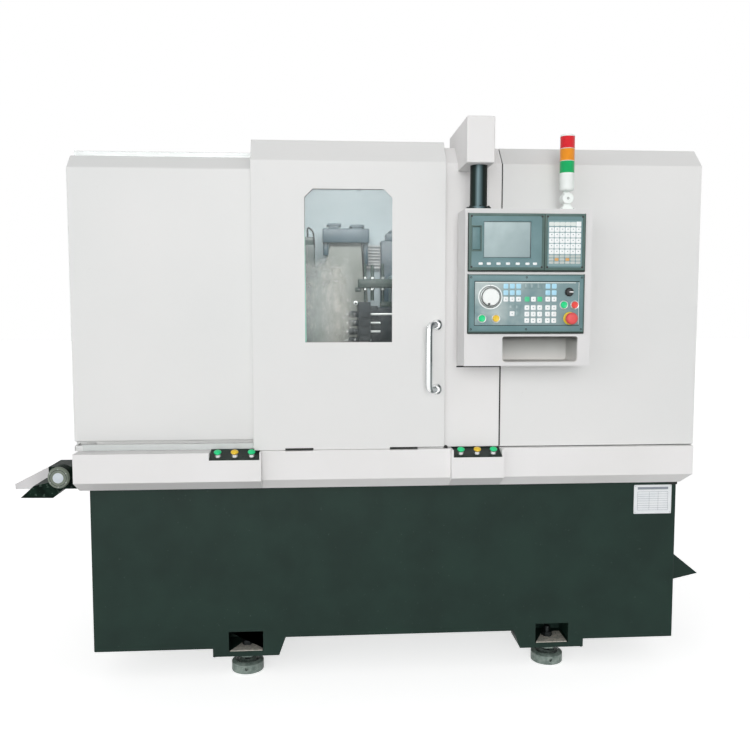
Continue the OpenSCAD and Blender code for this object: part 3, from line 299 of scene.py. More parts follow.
bareSheet = workedMetal(
    "galvanisedSheetDull", "#a9adac", "#c6c9c8", rough=0.48, lineMm=6, stretch=(1, 1, 1), depthMm=0.03,
    smudgeMm=28)
groundSteel = workedMetal(
    "groundSteelBright", "#b9bcbb", "#d2d4d3", rough=0.26, lineMm=2.2, stretch=(0.04, 1, 1), depthMm=0.01)
turnedSteel = workedMetal(
    "turnedSteelOiled", "#8d9391", "#aeb3b1", rough=0.3, lineMm=2.0, stretch=(1, 0.3, 0.3), depthMm=0.015)
dullSteel = workedMetal(
    "turnedSteelOilFilm", "#6d7775", "#848d8b", rough=0.55, lineMm=2.0, stretch=(1, 0.3, 0.3),
    depthMm=0.015)
# darker than bright ground steel, so that where the guide shows under the left cover it reads as the shade
# there: painted shade
railSteelPaintedShade = workedMetal(
    "groundRailBright", "#a2a5a4", "#aaadac", rough=0.45, lineMm=2.2, stretch=(0.04, 1, 1), depthMm=0.003)
zincSteel = workedMetal(
    "zincPlatedSteel", "#8b9190", "#b2b6b2", rough=0.34, lineMm=3, stretch=(1, 1, 0.4), depthMm=0.02,
    smudgeMm=12)
blackSteel = workedMetal(
    "blackOxidedSteel", "#1b1e1f", "#2e3334", rough=0.38, lineMm=2.4, stretch=(1, 1, 0.3), depthMm=0.02,
    smudgeMm=14, metal=0.7)
silverRing = workedMetal(
    "brushedNickelRing", "#c3c6c5", "#dadcdb", rough=0.22, lineMm=1.4, stretch=(1, 1, 1), depthMm=0.01,
    smudgeMm=8)
darkTool = workedMetal(
    "hardenedToolBlockBlue", "#0b171c", "#18282f", rough=0.55, lineMm=2.2, stretch=(1, 0.3, 1),
    depthMm=0.02, smudgeMm=20, metal=0.1)
# Translucent button caps and tower lenses share one gloss
greenPlastic, lensGreen, yellowPlastic, redPlastic, capRed, amberPlastic = (
    mouldedPlastic("moulded" + name, colour, drift, 0.28, 0.3) for name, colour, drift in (
        ("PolycarbonateGreen", "#1ed583", "#34e397"), ("LensGreen", "#07a95f", "#12bb6e"),
        ("PolycarbonateYellow", "#f0c52f", "#f6d24a"), ("PolycarbonateRed", "#dd1f2c", "#e62f38"),
        ("PolycarbonateOrangeRed", "#ee4740", "#f35a50"), ("PolycarbonateAmber", "#f0931c", "#f6a32c")))
stopRed = mouldedPlastic("mouldedNylonSignalRed", "#e2484a", "#e95c5b", rough=0.42)
stopYellow = mouldedPlastic("mouldedNylonSignalYellow", "#efd022", "#f3da3c", rough=0.42)
whitePlastic = mouldedPlastic("mouldedAbsWhite", "#f7fbf9", "#eef5f1", rough=0.38)
blackPlastic = mouldedPlastic("mouldedAbsBlack", "#17191a", "#232627", rough=0.42)
greyPlastic = mouldedPlastic("mouldedAbsMidGrey", "#8d9293", "#7d8384", rough=0.45)
keyWhite, keyBlue, keyGreen, keyOrange, keyGrey, keyPale = (
    mouldedPlastic("polyesterKey" + name, colour, drift, 0.35, wearMm=9) for name, colour, drift in (
        ("White", "#fbfdfd", "#f4f8f9"), ("SkyBlue", "#9fd8f2", "#bfe9f8"), ("Green", "#36c486", "#52d39b"),
        ("Orange", "#dca45e", "#e5b473"), ("StoneGrey", "#bfc6c2", "#cbd2cd"),
        ("MistGrey", "#dfe7e3", "#e9efec")))
dialWhite = mouldedPlastic("mouldedAcetalDialWhite", "#fbfdfc", "#f3f8f5", rough=0.3, wearMm=14)
rubber = mouldedPlastic("mouldedRubberBlack", "#151616", "#212322", rough=0.7)
cableGrey = mouldedPlastic("extrudedPvcCableGrey", "#6d7375", "#5f6567", rough=0.5)
print("finishes are mixed")


# ---- shaping tools
def around(radius, turns):
    return radius * math.cos(2 * math.pi * turns), radius * math.sin(2 * math.pi * turns)


def circle(x, z, radius, sides=24, first=0.0):
    return [(x + a, z + b) for a, b in (around(radius, (k + first) / sides) for k in range(sides))]


def rect(x0, z0, x1, z1):
    return [(x0, z0), (x1, z0), (x1, z1), (x0, z1)]


def rectOf(low, high, inset=0.0):
    return rect(low.x + inset, low.z + inset, high.x - inset, high.z - inset)


def roundRect(x0, z0, x1, z1, radius, steps=4):
    corners = ((x1 - radius, z1 - radius, 0), (x0 + radius, z1 - radius, 90),
               (x0 + radius, z0 + radius, 180), (x1 - radius, z0 + radius, 270))
    angles = [math.radians(90 * k / steps) for k in range(steps + 1)]
    return [(x + radius * math.cos(math.radians(first) + a), z + radius * math.sin(math.radians(first) + a))
            for x, z, first in corners for a in angles]


def rounded(path, radius):
    # a polyline with its corners turned into arcs
    steps = 5
    path = [Vector(p) for p in path]
    smooth = [path[0]]
    for before, corner, after in zip(path, path[1:], path[2:]):
        a, b = (before - corner), (after - corner)
        cut = min(radius, a.length * 0.45, b.length * 0.45)
        start, end = corner + a.normalized() * cut, corner + b.normalized() * cut
        for k in range(steps + 1):
            t = k / steps
            smooth.append((1 - t) ** 2 * start + 2 * t * (1 - t) * corner + t ** 2 * end)
    return smooth + [path[-1]]


def sharpEdges(bm, degrees=30):
    return [e for e in bm.edges if len(e.link_faces) == 2 and e.calc_face_angle(0) > math.radians(degrees)]


class Shape:
    def __init__(self):
        self.points, self.faces, self.slots = [], [], []

    def keep(self, bm, slot):
        bm.verts.index_update()
        first = len(self.points)
        self.points += [v.co[:] for v in bm.verts]
        self.faces += [[first + v.index for v in f.verts] for f in bm.faces]
        self.slots += [slot] * len(bm.faces)
        bm.free()

    def soften(self, bm, edges, size, steps):
        if size:
            bmesh.ops.bevel(bm, geom=edges, offset=size, segments=steps, profile=0.5, affect="EDGES",
                            clamp_overlap=True)

    def slab(self, low, high, soft=0.0, steps=2, slot=0, turn=None):
        bm = bmesh.new()
        bmesh.ops.create_cube(bm, size=1.0)
        for v in bm.verts:
            v.co = Vector([low[i] + (v.co[i] + 0.5) * (high[i] - low[i]) for i in range(3)])
        self.soften(bm, bm.edges[:], soft, steps)
        if turn:
            bm.transform(turn)
        self.keep(bm, slot)

    def turned(self, foot, axis, profile, sides=32, slot=0):
        # profile: (radius, height) pairs, closed on the axis, or round a bore if the first radius isn't 0
        bm = bmesh.new()
        rings = [[bm.verts.new((*around(radius, k / sides), height)) for k in range(sides)] if radius
                 else [bm.verts.new((0, 0, height))] for radius, height in profile]
        for low, high in list(zip(rings, rings[1:])) + ([(rings[-1], rings[0])] if profile[0][0] else []):
            for k in range(sides):
                corners = [ring[n % len(ring)]
                           for ring, n in ((low, k), (low, k + 1), (high, k + 1), (high, k))]
                corners = list(dict.fromkeys(corners))
                if len(corners) > 2:
                    bm.faces.new(corners)
        bm.transform(Matrix.Translation(foot) @ Vector(axis).to_track_quat("Z", "Y").to_matrix().to_4x4())
        self.keep(bm, slot)

    def pipe(self, path, radius, sides, bend, slot=0):
        path = rounded(path, bend)
        bm = bmesh.new()
        ahead = (path[1] - path[0]).normalized()
        side = ahead.orthogonal().normalized()
        rings = []
        for k, point in enumerate(path):
            new = (path[min(k + 1, len(path) - 1)] - path[max(k - 1, 0)]).normalized()
            side = (ahead.rotation_difference(new) @ side).normalized()
            side = (side - new * side.dot(new)).normalized()
            ahead = new
            up = ahead.cross(side)
            rings.append([bm.verts.new(point + side * a + up * b)
                          for a, b in (around(radius, j / sides) for j in range(sides))])
        for low, high in zip(rings, rings[1:]):
            for j in range(sides):
                bm.faces.new([low[j], low[(j + 1) % sides], high[(j + 1) % sides], high[j]])
        bm.faces.new(rings[0][::-1])
        bm.faces.new(rings[-1])
        self.keep(bm, slot)

    def prism(self, outline, start, end, soft=0.0, steps=2, slot=0, holes=(), axis="y"):
        # a flat outline, with holes if it has any, given thickness along one axis
        loops = [list(outline)] + [list(h) for h in holes]
        flat = [[Vector((p[0], p[1], 0)) for p in loop] for loop in loops]
        fill = mathutils.geometry.tessellate_polygon(flat) if holes else [list(range(len(outline)))]
        bm = bmesh.new()
        sheets = []
        for depth in (start, end):
            corners = [list(p) for loop in loops for p in loop]
            for p in corners:
                p.insert("xyz".index(axis), depth)
            sheets.append([bm.verts.new(p) for p in corners])
        low, high = sheets
        for part in fill:
            bm.faces.new([low[i] for i in part])
            bm.faces.new([high[i] for i in reversed(part)])
        first = 0
        for loop in loops:
            for i in range(len(loop)):
                a, b = first + i, first + (i + 1) % len(loop)
                bm.faces.new([low[a], low[b], high[b], high[a]])
            first += len(loop)
        bmesh.ops.recalc_face_normals(bm, faces=bm.faces[:])
        self.soften(bm, sharpEdges(bm), soft, steps)
        self.keep(bm, slot)

    def finish(self, name, finishes, body, slotName, stands=(), sharp=32):
        mesh = bpy.data.meshes.new(name)
        mesh.from_pydata(self.points, [], self.faces)
        mesh.polygons.foreach_set("material_index", self.slots)
        mesh.transform(toRow)
        mesh.update()
        showPiece(name, mesh, finishes, body, stands, sharp)


def showPiece(name, mesh, finishes, body, stands=(), sharp=32):
    for finish in finishes:
        mesh.materials.append(finish)
    if sharp:
        mesh.shade_smooth()
        mesh.set_sharp_from_angle(angle=math.radians(sharp))
    piece = bpy.data.objects.new(name, mesh)
    scene.collection.objects.link(piece)
    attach(piece, body)
    if stands:
        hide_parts(*stands)


def settle(name, draft):
    # the draft with its modifiers applied, as one plain mesh
    made = bpy.data.meshes.new_from_object(draft.evaluated_get(bpy.context.evaluated_depsgraph_get()))
    made.name = name
    draft.modifiers.clear()
    bpy.data.objects.remove(draft)
    return made


def foldedCopy(name, node, finish, body, slotName, fold, edge):
    # the CAD sheet again, with real folds: bend radii where two wide faces meet, a broken edge elsewhere
    wide = 12.0
    bm = bmesh.new()
    bm.from_mesh(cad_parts[node].data)
    bmesh.ops.remove_doubles(bm, verts=bm.verts[:], dist=1e-5)
    bmesh.ops.dissolve_limit(bm, angle_limit=math.radians(0.4), verts=bm.verts[:], edges=bm.edges[:])
    weights = bm.edges.layers.float.new("bevel_weight_edge")
    for e in sharpEdges(bm, 24):
        long = e.calc_length() * 1000
        across = min(f.calc_area() * 1e6 / max(long, max(x.calc_length() for x in f.edges) * 1000)
                     for f in e.link_faces)
        size = fold if across > wide and long > wide * 2 else min(edge, across * 0.3, long * 0.3)
        e[weights] = min(1.0, size / max(fold, edge))
    mesh = bpy.data.meshes.new(name)
    bm.to_mesh(mesh)
    bm.free()
    mesh.materials.append(finish)
    mesh.shade_smooth()
    draft = bpy.data.objects.new(name + "Draft", mesh)
    scene.collection.objects.link(draft)
    bend = draft.modifiers.new("bend", "BEVEL")
    bend.limit_method = "WEIGHT"
    bend.width = max(fold, edge) / 1000
    bend.segments = 2
    bend.miter_outer = "MITER_ARC"
    even = draft.modifiers.new("even", "WEIGHTED_NORMAL")
    even.weight = 100
    even.keep_sharp = True
    showPiece(name, settle(name, draft), [], body, [node], None)


# ---- node trees for what repeats
class Repeater(Nodes):
    # puts one small form at each marked spot of a mesh, facing the way that the spot faces
    def __init__(self, name, sizes):
        super().__init__(bpy.data.node_groups.new(name, "GeometryNodeTree"))
        sockets = [("Geometry", "Geometry")] + list(sizes.items()) + [("Finish", "Material")]
        for label, kind in sockets:
            self.tree.interface.new_socket(name=label, in_out="INPUT", socket_type="NodeSocket" + kind)
        self.tree.interface.new_socket(name="Geometry", in_out="OUTPUT", socket_type="NodeSocketGeometry")
        self.given = self.add("NodeGroupInput")

    def form(self, kind, inputs, **settings):
        return self.add("GeometryNode" + kind, inputs, **settings)

    def close(self, form):
        facing = self.form("InputNamedAttribute", {"Name": "facing"}, data_type="FLOAT_VECTOR")["Attribute"]
        turn = self.add("FunctionNodeAlignRotationToVector", {"Vector": facing}, axis="Z")[0]
        placed = self.form("InstanceOnPoints", {
            "Points": self.given["Geometry"], "Instance": form, "Rotation": turn})
        real = self.form("RealizeInstances", {"Geometry": placed[0]})
        painted = self.form("SetMaterial", {"Geometry": real[0], "Material": self.given["Finish"]})
        self.add("NodeGroupOutput", {"Geometry": painted[0]})
        return self.tree


def buildScrewTree():
    # a turned head with a sunk hexagon
    screw = Repeater("sunkHexScrews", {"Head Radius": "Float", "Head Height": "Float"})
    high = screw.given["Head Height"]
    head = screw.form("MeshCylinder", {"Vertices": 12, "Radius": screw.given["Head Radius"], "Depth": high})
    crown = screw.form("ExtrudeMesh", {"Mesh": head["Mesh"], "Selection": head["Top"], "Offset Scale": 0.0},
                       mode="FACES")
    narrowed = screw.form("ScaleElements", {"Geometry": crown["Mesh"], "Selection": crown["Top"],
                                            "Scale": 0.5})
    deep = screw.combine("MULTIPLY", high, -0.6)
    sunk = screw.form("ExtrudeMesh", {"Mesh": narrowed[0], "Selection": crown["Top"], "Offset Scale": deep},
                      mode="FACES")
    return screw.close(sunk["Mesh"])


def buildKeyTree():
    # one rounded key cap, raised and drawn in a little at the top
    key = Repeater("keyCaps", {"Key Width": "Float", "Key Height": "Float", "Corner": "Float",
                               "Rise": "Float"})
    outline = key.form("CurvePrimitiveQuadrilateral", {
        "Width": key.given["Key Width"], "Height": key.given["Key Height"]})
    softened = key.form("FilletCurve", {
        "Curve": outline[0], "Radius": key.given["Corner"], "Limit Radius": True, "Count": 2}, mode="POLY")
    flat = key.form("FillCurve", {"Curve": softened[0]}, mode="NGONS")
    body = key.form("ExtrudeMesh", {"Mesh": flat[0], "Offset Scale": key.given["Rise"]}, mode="FACES")
    top = key.form("ExtrudeMesh", {"Mesh": body["Mesh"], "Selection": body["Top"], "Offset Scale": 0.0003},
                   mode="FACES")
    return key.close(key.form("ScaleElements", {
        "Geometry": top["Mesh"], "Selection": top["Top"], "Scale": 0.9})[0])


def buildBarTree():
    # short bars: fins, slats, ribs and dial marks
    bar = Repeater("standingBars", {"Bar Size": "Vector", "Lean": "Vector"})
    block = bar.form("MeshCube", {"Size": bar.given["Bar Size"]})
    return bar.close(bar.form("Transform", {"Geometry": block["Mesh"], "Rotation": bar.given["Lean"]})[0])


screwTree, keyTree, barTree = buildScrewTree(), buildKeyTree(), buildBarTree()


def growOn(name, tree, sizes, spots, body, stands=()):
    # spots are (point, facing) pairs
    mesh = bpy.data.meshes.new(name)
    mesh.from_pydata([at(*p) for p, out in spots], [], [])
    facing = mesh.attributes.new("facing", "FLOAT_VECTOR", "POINT")
    facing.data.foreach_set("vector", [c for p, out in spots for c in out])
    draft = bpy.data.objects.new(name + "Draft", mesh)
    scene.collection.objects.link(draft)
    grow = draft.modifiers.new("grow", "NODES")
    grow.node_group = tree
    for item in tree.interface.items_tree:
        if item.in_out == "INPUT" and item.name in sizes:
            grow[item.identifier] = sizes[item.name]
    showPiece(name, settle(name, draft), [], body, stands)


def bars(name, size, finish, spots, body, lean=(0, 0, 0)):
    size = [s / 1000 for s in size]
    growOn(name, barTree, {"Bar Size": size, "Lean": lean, "Finish": finish}, spots, body)


def screws(name, spots, radius, height, finish, body="machine"):
    raised = [((Vector(p) + Vector(out) * height * 0.5)[:], out) for p, out in spots]
    sizes = {"Head Radius": radius / 1000, "Head Height": height / 1000, "Finish": finish}
    growOn(name, screwTree, sizes, raised, body)


print("tools are ready")


# ---- sheet metal and castings taken over from the frame
sheetPlan = {
    # piece: (node, finish, body, slot, fold radius, broken edge)
    "baseTank": ("base_frame", greenEnamel, "machine", "green_paint", 4.0, 1.2),
    "levelBrackets": ("foot_brackets", greenEnamel, "machine", "green_paint", 2.0, 0.8),
    "dripTray": ("drip_tray", warmPaintedLightCoat, "machine", "grey_white_paint", 3.0, 0.7),
    "buttonPlates": ("button_plates", deepEnamel, "machine", "dark_green_paint", 1.2, 0.6),
    "leftCover": ("left_cover", whiteCoat, "machine", "white_paint", 4.0, 0.7),
    "columnCover": ("column_cover", warmPaintedLightCoat, "machine", "grey_white_paint", 3.0, 0.7),
    "rightCover": ("right_cover", whiteCoat, "machine", "white_paint", 4.0, 0.7),
    "cabinRoof": ("cabin_roof", greyCoat, "machine", "light_grey_paint", 3.0, 0.7),
    "cabinetHatch": ("cabinet_door", greyCoat, "cabinet_door", "light_grey_paint", 2.5, 0.7),
    "doorShell": ("door_panel", whiteCoat, "door", "white_paint", 4.0, 0.7),
    "doorGuides": ("door_rails", railSteelPaintedShade, "machine", "ground_steel", 1.0, 0.6),
    "doorRollers": ("door_carriages", blackSteel, "door", "black_steel", 1.0, 0.6),
    "overheadArm": ("overhead_arm", warmPaintedLightCoat, "machine", "grey_white_paint", 4.0, 0.8),
    "controlBox": ("control_box", boxCoat, "pendant", "box_paint", 5.0, 1.0),
    "slantBed": ("machine_bed", bedPaint, "machine", "cast_machine", 8.0, 3.0),
    "headstockCasting": ("headstock", castPaint, "machine", "cast_head", 8.0, 3.0),
    "zRails": ("linear_rails", groundSteel, "machine", "ground_steel", 1.5, 0.8),
    "zSlide": ("z_slide", groundSteel, "z_slide", "slide_steel", 2.0, 1.0),
    "xSlide": ("x_slide", castPaint, "x_slide", "slide_steel", 3.0, 1.2),
    "coolantTank": ("coolant_tank", greenEnamel, "machine", "dark_green_paint", 3.0, 1.0),
    "spindleShaft": ("spindle", dullSteel, "spindle", "spindle_steel", 1.5, 0.8),
    "spindleMotor": ("spindle_motor", blackSteel, "machine", "black_steel", 3.0, 1.0),
    "buttonCollars": ("button_collars", silverRing, "machine", "silver_bezel", 0.4, 0.3),
}
for name, row in sheetPlan.items():
    foldedCopy(name, *row)
# the tank's end plates lean in a little towards the floor
lean = {"top": 10.0, "foot": -12.0, "plate": 12.0}
tank = bpy.data.objects["baseTank"].data
middle, halfWide, tall = (baseLow.x + baseHigh.x) / 2, (baseHigh.x - baseLow.x) / 2, baseHigh.z - baseLow.z
for v in tank.vertices:
    side = v.co.x - middle
    if abs(side) > halfWide - lean["plate"] / 1000:
        share = (baseHigh.z - v.co.z) / tall
        v.co.x += math.copysign((lean["top"] + (lean["foot"] - lean["top"]) * share) / 1000, side)
# painted end bracket of the lower door guide, which closes the gap beside it
guideLow, coverLow = boxOf("door_rails")[0], boxOf("left_cover")[0]
trayTop = boxOf("drip_tray")[1].z
shape = Shape()
shape.slab((coverLow.x + 14, -44, trayTop), (guideLow.x + 29, -38, trayTop + 19), 0.8)
shape.slab((coverLow.x + 14, -44, trayTop), (coverLow.x + 17, 16, trayTop + 19), 0.8)
shape.slab((coverLow.x + 3, 15, trayTop), (coverLow.x + 75, 18, trayTop + 27), 0.8)
shape.finish("guideEndBracket", [greyCoat], "machine", "light_grey_paint")
print("sheets and castings are folded")


# ---- levelling feet and the base front
feet = {"xs": (-527, 608), "ys": (67, 1083), "bracketTop": 91.0, "padTop": 38.0, "bracketFoot": 73.0}
oilyIron = paintedSteel(
    "machinedIronPaintSplashed", "#5e6d67", "#8a9790", "#a9b3ac", driftMm=22, specks=(5, 0.6, 0.5),
    peel=(3, 0.15), rough=0.45, shine=0.4)
foldedCopy("levelPads", "leveling_pads", oilyIron, "machine", "cast_pad", 1.0, 0.8)
foldedCopy("levelScrews", "leveling_screws", blackSteel, "machine", "zinc_steel", 0.8, 0.8)
shape = Shape()
for x in feet["xs"]:
    for y in feet["ys"]:
        # bright machined ring on the pad, placed as a painted highlight on its top bevel; lock nut and washer
        # under the bracket
        low = feet["bracketFoot"]
        ring = [(30.0, -1), (41.5, -1), (43.0, -0.7), (41.0, 0.5), (31.0, 0.5)]
        washer = [(12.4, 0), (38.0, 0), (38.0, 3.4), (37.0, 4.2), (12.4, 4.2)]
        nut = [(12.4, 0), (33.0, 0), (35.0, 2.0), (35.0, 15.0), (32.0, 18.0), (12.4, 18.0)]
        shape.turned((x, y, feet["padTop"]), upward, ring, 48)
        shape.turned((x, y, low), (0, 0, -1), washer, 40, 1)
        shape.turned((x, y, low - 4), (0, 0, -1), nut, 6, 1)
shape.finish("levelNuts", [groundSteel, oilyIron], "machine", "zinc_steel")
shape = Shape()
for x in feet["xs"]:
    for near, far in ((3, 102), (1147, 1048)):
        # bare plate let into each pocket, cut away at its left rear corner, where the green below stands for
        # the shade that the pocket's side casts: painted shadow
        outline = [(x - 59, near), (x + 59, near), (x + 59, far), (x - 8, far)]
        if near > far:
            outline.reverse()
        hole = circle(x, near * 0.36 + far * 0.64, 12.6, 20)
        low = feet["bracketTop"]
        shape.prism(outline, low + 0.1, low + 3.0, 0.4, 1, holes=[hole], axis="z")
platePale = paintedSteel(
    "hotRolledPlateScraped", "#dcd6ca", "#b4b3aa", "#4d5b53", driftMm=14, specks=(6, 0.6, 0.7),
    peel=(4, 0.15), rough=0.5)
shape.finish("pocketPlates", [platePale], "machine", "bare_sheet")
shape = Shape()
for x, s in zip(feet["xs"], (1, -1)):   # folded stiffener along the slanted end of each foot
    shape.slab((x + s * 118 - 3, 4, 76), (x + s * 118 + 3, 60, 100), 0.8)
    shape.slab((x - s * 116 - 4, 8, 68), (x - s * 116 + 4, 40, 74), 0.8)
shape.finish("footTabs", [greenEnamel], "machine", "green_paint")

plateWhite = paintedSteel(
    "anodisedPlatePrintedWhite", "#e9ecee", "#e1e5e8", "#c9ced2", driftMm=40, specks=(4, 0.66, 0.3),
    peel=(2, 0.01), rough=0.4)
inkGrey = mouldedPlastic("screenPrintedInkGrey", "#7b838c", "#8d949c", rough=0.5, wearMm=8)
# the plate is left blank: ruled fields only, no lettering
plate = {"x0": 909.0, "x1": 1052.0, "z0": 577.0, "z1": 686.0, "rows": 8, "ruled": 116, "rowHigh": 8.6}
x0, x1, z0, z1 = (plate[side] for side in ("x0", "x1", "z0", "z1"))
shape = Shape()
shape.prism(roundRect(x0, z0, x1, z1, 3), -1.4, 0.3, 0.3, 1)
shape.finish("dataPlate", [plateWhite], "machine", "white_paint")
middle, ruled, deep = (x0 + x1) / 2, plate["ruled"], plate["rows"] * plate["rowHigh"]
rows = [((middle, -1.5, z0 + 14 + k * plate["rowHigh"]), toUser) for k in range(plate["rows"] + 1)]
posts = [((x, -1.5, z0 + 14 + deep / 2), toUser) for x in (x0 + 14, x0 + 58, x0 + 92, x1 - 14)]
for name, size, spots in (("plateLines", (ruled, 0.8, 0.3), rows), ("plateColumns", (0.8, 69.4, 0.3), posts),
                          ("plateHeading", (ruled, 9.0, 0.3), [((middle, -1.5, z1 - 13), toUser)])):
    bars(name, size, inkGrey, spots, "machine")
spots = [((x, -1.3, z), toUser) for x in (x0 + 5, x1 - 5) for z in (z0 + 5, z1 - 5)]
screws("plateRivets", spots, 2.2, 1.2, groundSteel)
shape = Shape()      # seal between the base flange and the tray
for low, high in (((-1073, -7, 699), (1073, 2, 705.4)), ((1040, -8, 688), (1070, 2, 705.4)),
                  ((-1073, 2, 699), (-1062, 1150, 705.4)), ((1062, 2, 699), (1073, 1150, 705.4))):
    shape.slab(low, high, 0.6)
shape.finish("baseSeal", [seamShadow], "machine", "green_paint")
print("feet and base are fitted")


# ---- control box on its hanging tube
dispLow, dispHigh = boxOf("display_panel")
keysLow, keysHigh = boxOf("keyboard_panel")
operLow, operHigh = boxOf("operator_panel")
screenLow, screenHigh = boxOf("display_screen")
cardLow, cardHigh = boxOf("card_door")
boxLow, boxHigh = boxOf("control_box")
front, back = dispLow.y, boxLow.y          # outer face of every panel, and the face of the box behind them
panels = {
    "rim": 7.0, "rimRise": 1.6, "lip": 2.2, "thick": 3.4, "screwRadius": 3.5, "screwInset": 9.0,
    "fieldSide": 16.0, "fieldEnd": 22.0, "keyPitch": 18.2, "wideKey": 16.4, "tallKey": 16.0, "keyRise": 1.1,
    "keyCorner": 2.4, "keyLift": 0.3, "operPitch": 21.5, "operKey": 16.0, "operSunk": -1.0, "markBelow": 1.45,
}
rim, sheet = panels["rim"], front + panels["thick"]


def panelRim(shape, low, high):
    # a die-cast border with a sloped inner edge
    opening = rectOf(low, high, rim)
    shape.prism(rectOf(low, high), front - panels["rimRise"], back, 1.3, 2, 1, [opening])
    shape.prism(opening, front - 0.6, back, 0.5, 2, 1, [rectOf(low, high, rim + panels["lip"])])


# display: front plate with its screen opening and card slot
shape = Shape()
panelRim(shape, dispLow, dispHigh)
cardHole = rect(cardLow.x - 1.0, cardLow.z - 0.5, cardHigh.x + 0.8, cardHigh.z + 0.5)
screenHole = roundRect(screenLow.x - 0.3, screenLow.z - 0.3, screenHigh.x + 0.3, screenHigh.z + 0.3, 1.5)
shape.prism(rectOf(dispLow, dispHigh, rim), front, sheet, 0.4, 1, holes=[cardHole, screenHole])
shape.slab((cardLow.x - 2, back - 1.4, cardLow.z - 2), (cardHigh.x + 2, back, cardHigh.z + 2), 0.3, slot=1)
# step round the screen and a frame round the card slot
step = roundRect(screenLow.x - 5, screenLow.z - 5, screenHigh.x + 5, screenHigh.z + 5, 4)
shape.prism(step, front - 0.7, front + 0.2, 0.5, 2, holes=[screenHole])
cardFrame = rect(cardLow.x - 5, cardLow.z - 4, cardHigh.x + 5, cardHigh.z + 4)
shape.prism(cardFrame, front - 0.5, front + 0.2, 0.3, 1, 1, [cardHole])
shape.finish("displayPlate", [panelCoat, bezelCoat], "pendant", "panel_grey", ["display_panel"])

# card flap with a finger lip, on its pin
shape = Shape()
pinX, tall = cardLow.x + 1.0, cardHigh.z - cardLow.z
shape.turned((pinX, front + 1.3, cardLow.z), upward, [(0, 0), (0.95, 0), (0.95, tall), (0, tall)], 12)
shape.slab((pinX, front + 0.4, cardLow.z + 2.6), (cardHigh.x - 0.3, front + 2.2, cardHigh.z - 2.6), 0.4)
for k in range(3):
    x = cardHigh.x - 6.0 + k * 1.6
    shape.slab((x, front + 0.05, cardLow.z + 24), (x + 0.7, front + 0.5, cardHigh.z - 24), 0.15, 1)
shape.finish("cardFlap", [panelCoat], "card_door", "panel_grey", ["card_door"])

# liquid crystal behind its window: a dark glass border and a pale lit field, paler towards the upper left
glass = Finish("lcdGlassPaleTeal")
place = glass.split(glass.place)
across = glass.scale(place["X"], at(screenLow.x, 0, 0).x, at(screenHigh.x, 0, 0).x, 0.55, 0.0)
up = glass.scale(place["Z"], screenLow.z / 1000, screenHigh.z / 1000, 0.0, 0.75)
pale = glass.combine("MULTIPLY", glass.combine("ADD", across, up), glass.noise(70, 2.0))
tint = glass.mix(glass.combine("MULTIPLY", pale, 1.7), "#90a5a8", "#b6cacb")
glass.shade(tint, 0.16, Coat_Weight=0.6, Coat_Roughness=0.05)
screenFinish = glass.close(glass.noise(0.6, 1.0), 0.004)
shape = Shape()
shape.slab(screenLow, screenHigh, 0.3, 1, 1)
shape.slab((screenLow.x + 1.2, screenLow.y - 0.25, screenLow.z + 1.2),
           (screenHigh.x - 1.2, screenLow.y + 0.5, screenHigh.z - 1.2), 0.2, 1)
shape.finish("displayScreen", [screenFinish, blackPlastic], "pendant", "lcd_screen", ["display_screen"])

# keyboard: plate, die-cast rim and a pale overlay under the keys
overlayPale = mouldedPlastic("polyesterSheetMistBlue", "#86a4a6", "#7b9a9d", rough=0.4, wearMm=18)
shape = Shape()
panelRim(shape, keysLow, keysHigh)
shape.slab((keysLow.x + rim, front, keysLow.z + rim), (keysHigh.x - rim, sheet, keysHigh.z - rim), 0.3, 1)
keyX, keyZ, pitch = dispHigh.x + 23, dispHigh.z - 34, panels["keyPitch"]
field = roundRect(keyX - 10.5, keyZ - 7 * pitch - 11, keyX + 5 * pitch + 10.5, keyZ + 11, 2)
shape.prism(field, front - 0.35, front + 0.2, 0.2, 1, 2)
shape.finish("keyboardPlate", [panelCoat, bezelCoat, overlayPale], "pendant", "panel_grey",
             ["keyboard_panel"])

# operator panel: rim, sunk polyester overlay with a ruled border, and a hole for each control
film = Finish("polyesterOverlayTealGrey")
# whitish patches, strongest towards the left: painted reflection of the lamps in the overlay's gloss
glarePatches = film.scale(film.noise(95, 3.0, 0.55), 0.30, 0.66)
left = film.scale(film.split(film.place)["X"], at(operLow.x, 0, 0).x, at(operHigh.x, 0, 0).x, 1.25, 0.0)
tint = film.mix(film.combine("MULTIPLY", glarePatches, left), "#6c8c90", "#b5c2c1")
film.shade(tint, 0.30, Coat_Weight=0.4, Coat_Roughness=0.12)
overlay = film.close(film.noise(1.4, 2.0), 0.01)
buttons = {
    # node: (piece, finish, slot)
    "start_button": ("startButton", greenPlastic, "green_button"),
    "hold_button": ("holdButton", yellowPlastic, "yellow_button"),
    "power_on_button": ("powerOnButton", greenPlastic, "green_button"),
    "power_off_button": ("powerOffButton", capRed, "red_button"),
}
collared = [*buttons, "key_switch"]


def centreOf(node):
    a, b = boxOf(node)
    return (a.x + b.x) / 2, (a.z + b.z) / 2


fx, fz = operLow.x + panels["fieldSide"] + 4, operLow.z + panels["fieldEnd"]
gx, gz = operHigh.x - panels["fieldSide"], operHigh.z - panels["fieldEnd"]
step, field = rectOf(operLow, operHigh, 3.5), rect(fx, fz, gx, gz)
holes = [circle(*centreOf(node), 12.8) for node in (*collared, "estop_button")]
holes.append(circle(*centreOf("handwheel"), 5.05))
shape = Shape()
shape.prism(rectOf(operLow, operHigh), front - 0.4, back, 0.8, 2, 1, [step])
shape.prism(step, front - 1.2, back, 0.7, 2, 0, [field])
shape.prism(field, front + 1.0, front + 3.5, 0.0, 1, 2, holes)
shape.finish("operatorPlate", [panelCoat, bezelCoat, overlay], "pendant", "panel_grey", ["operator_panel"])
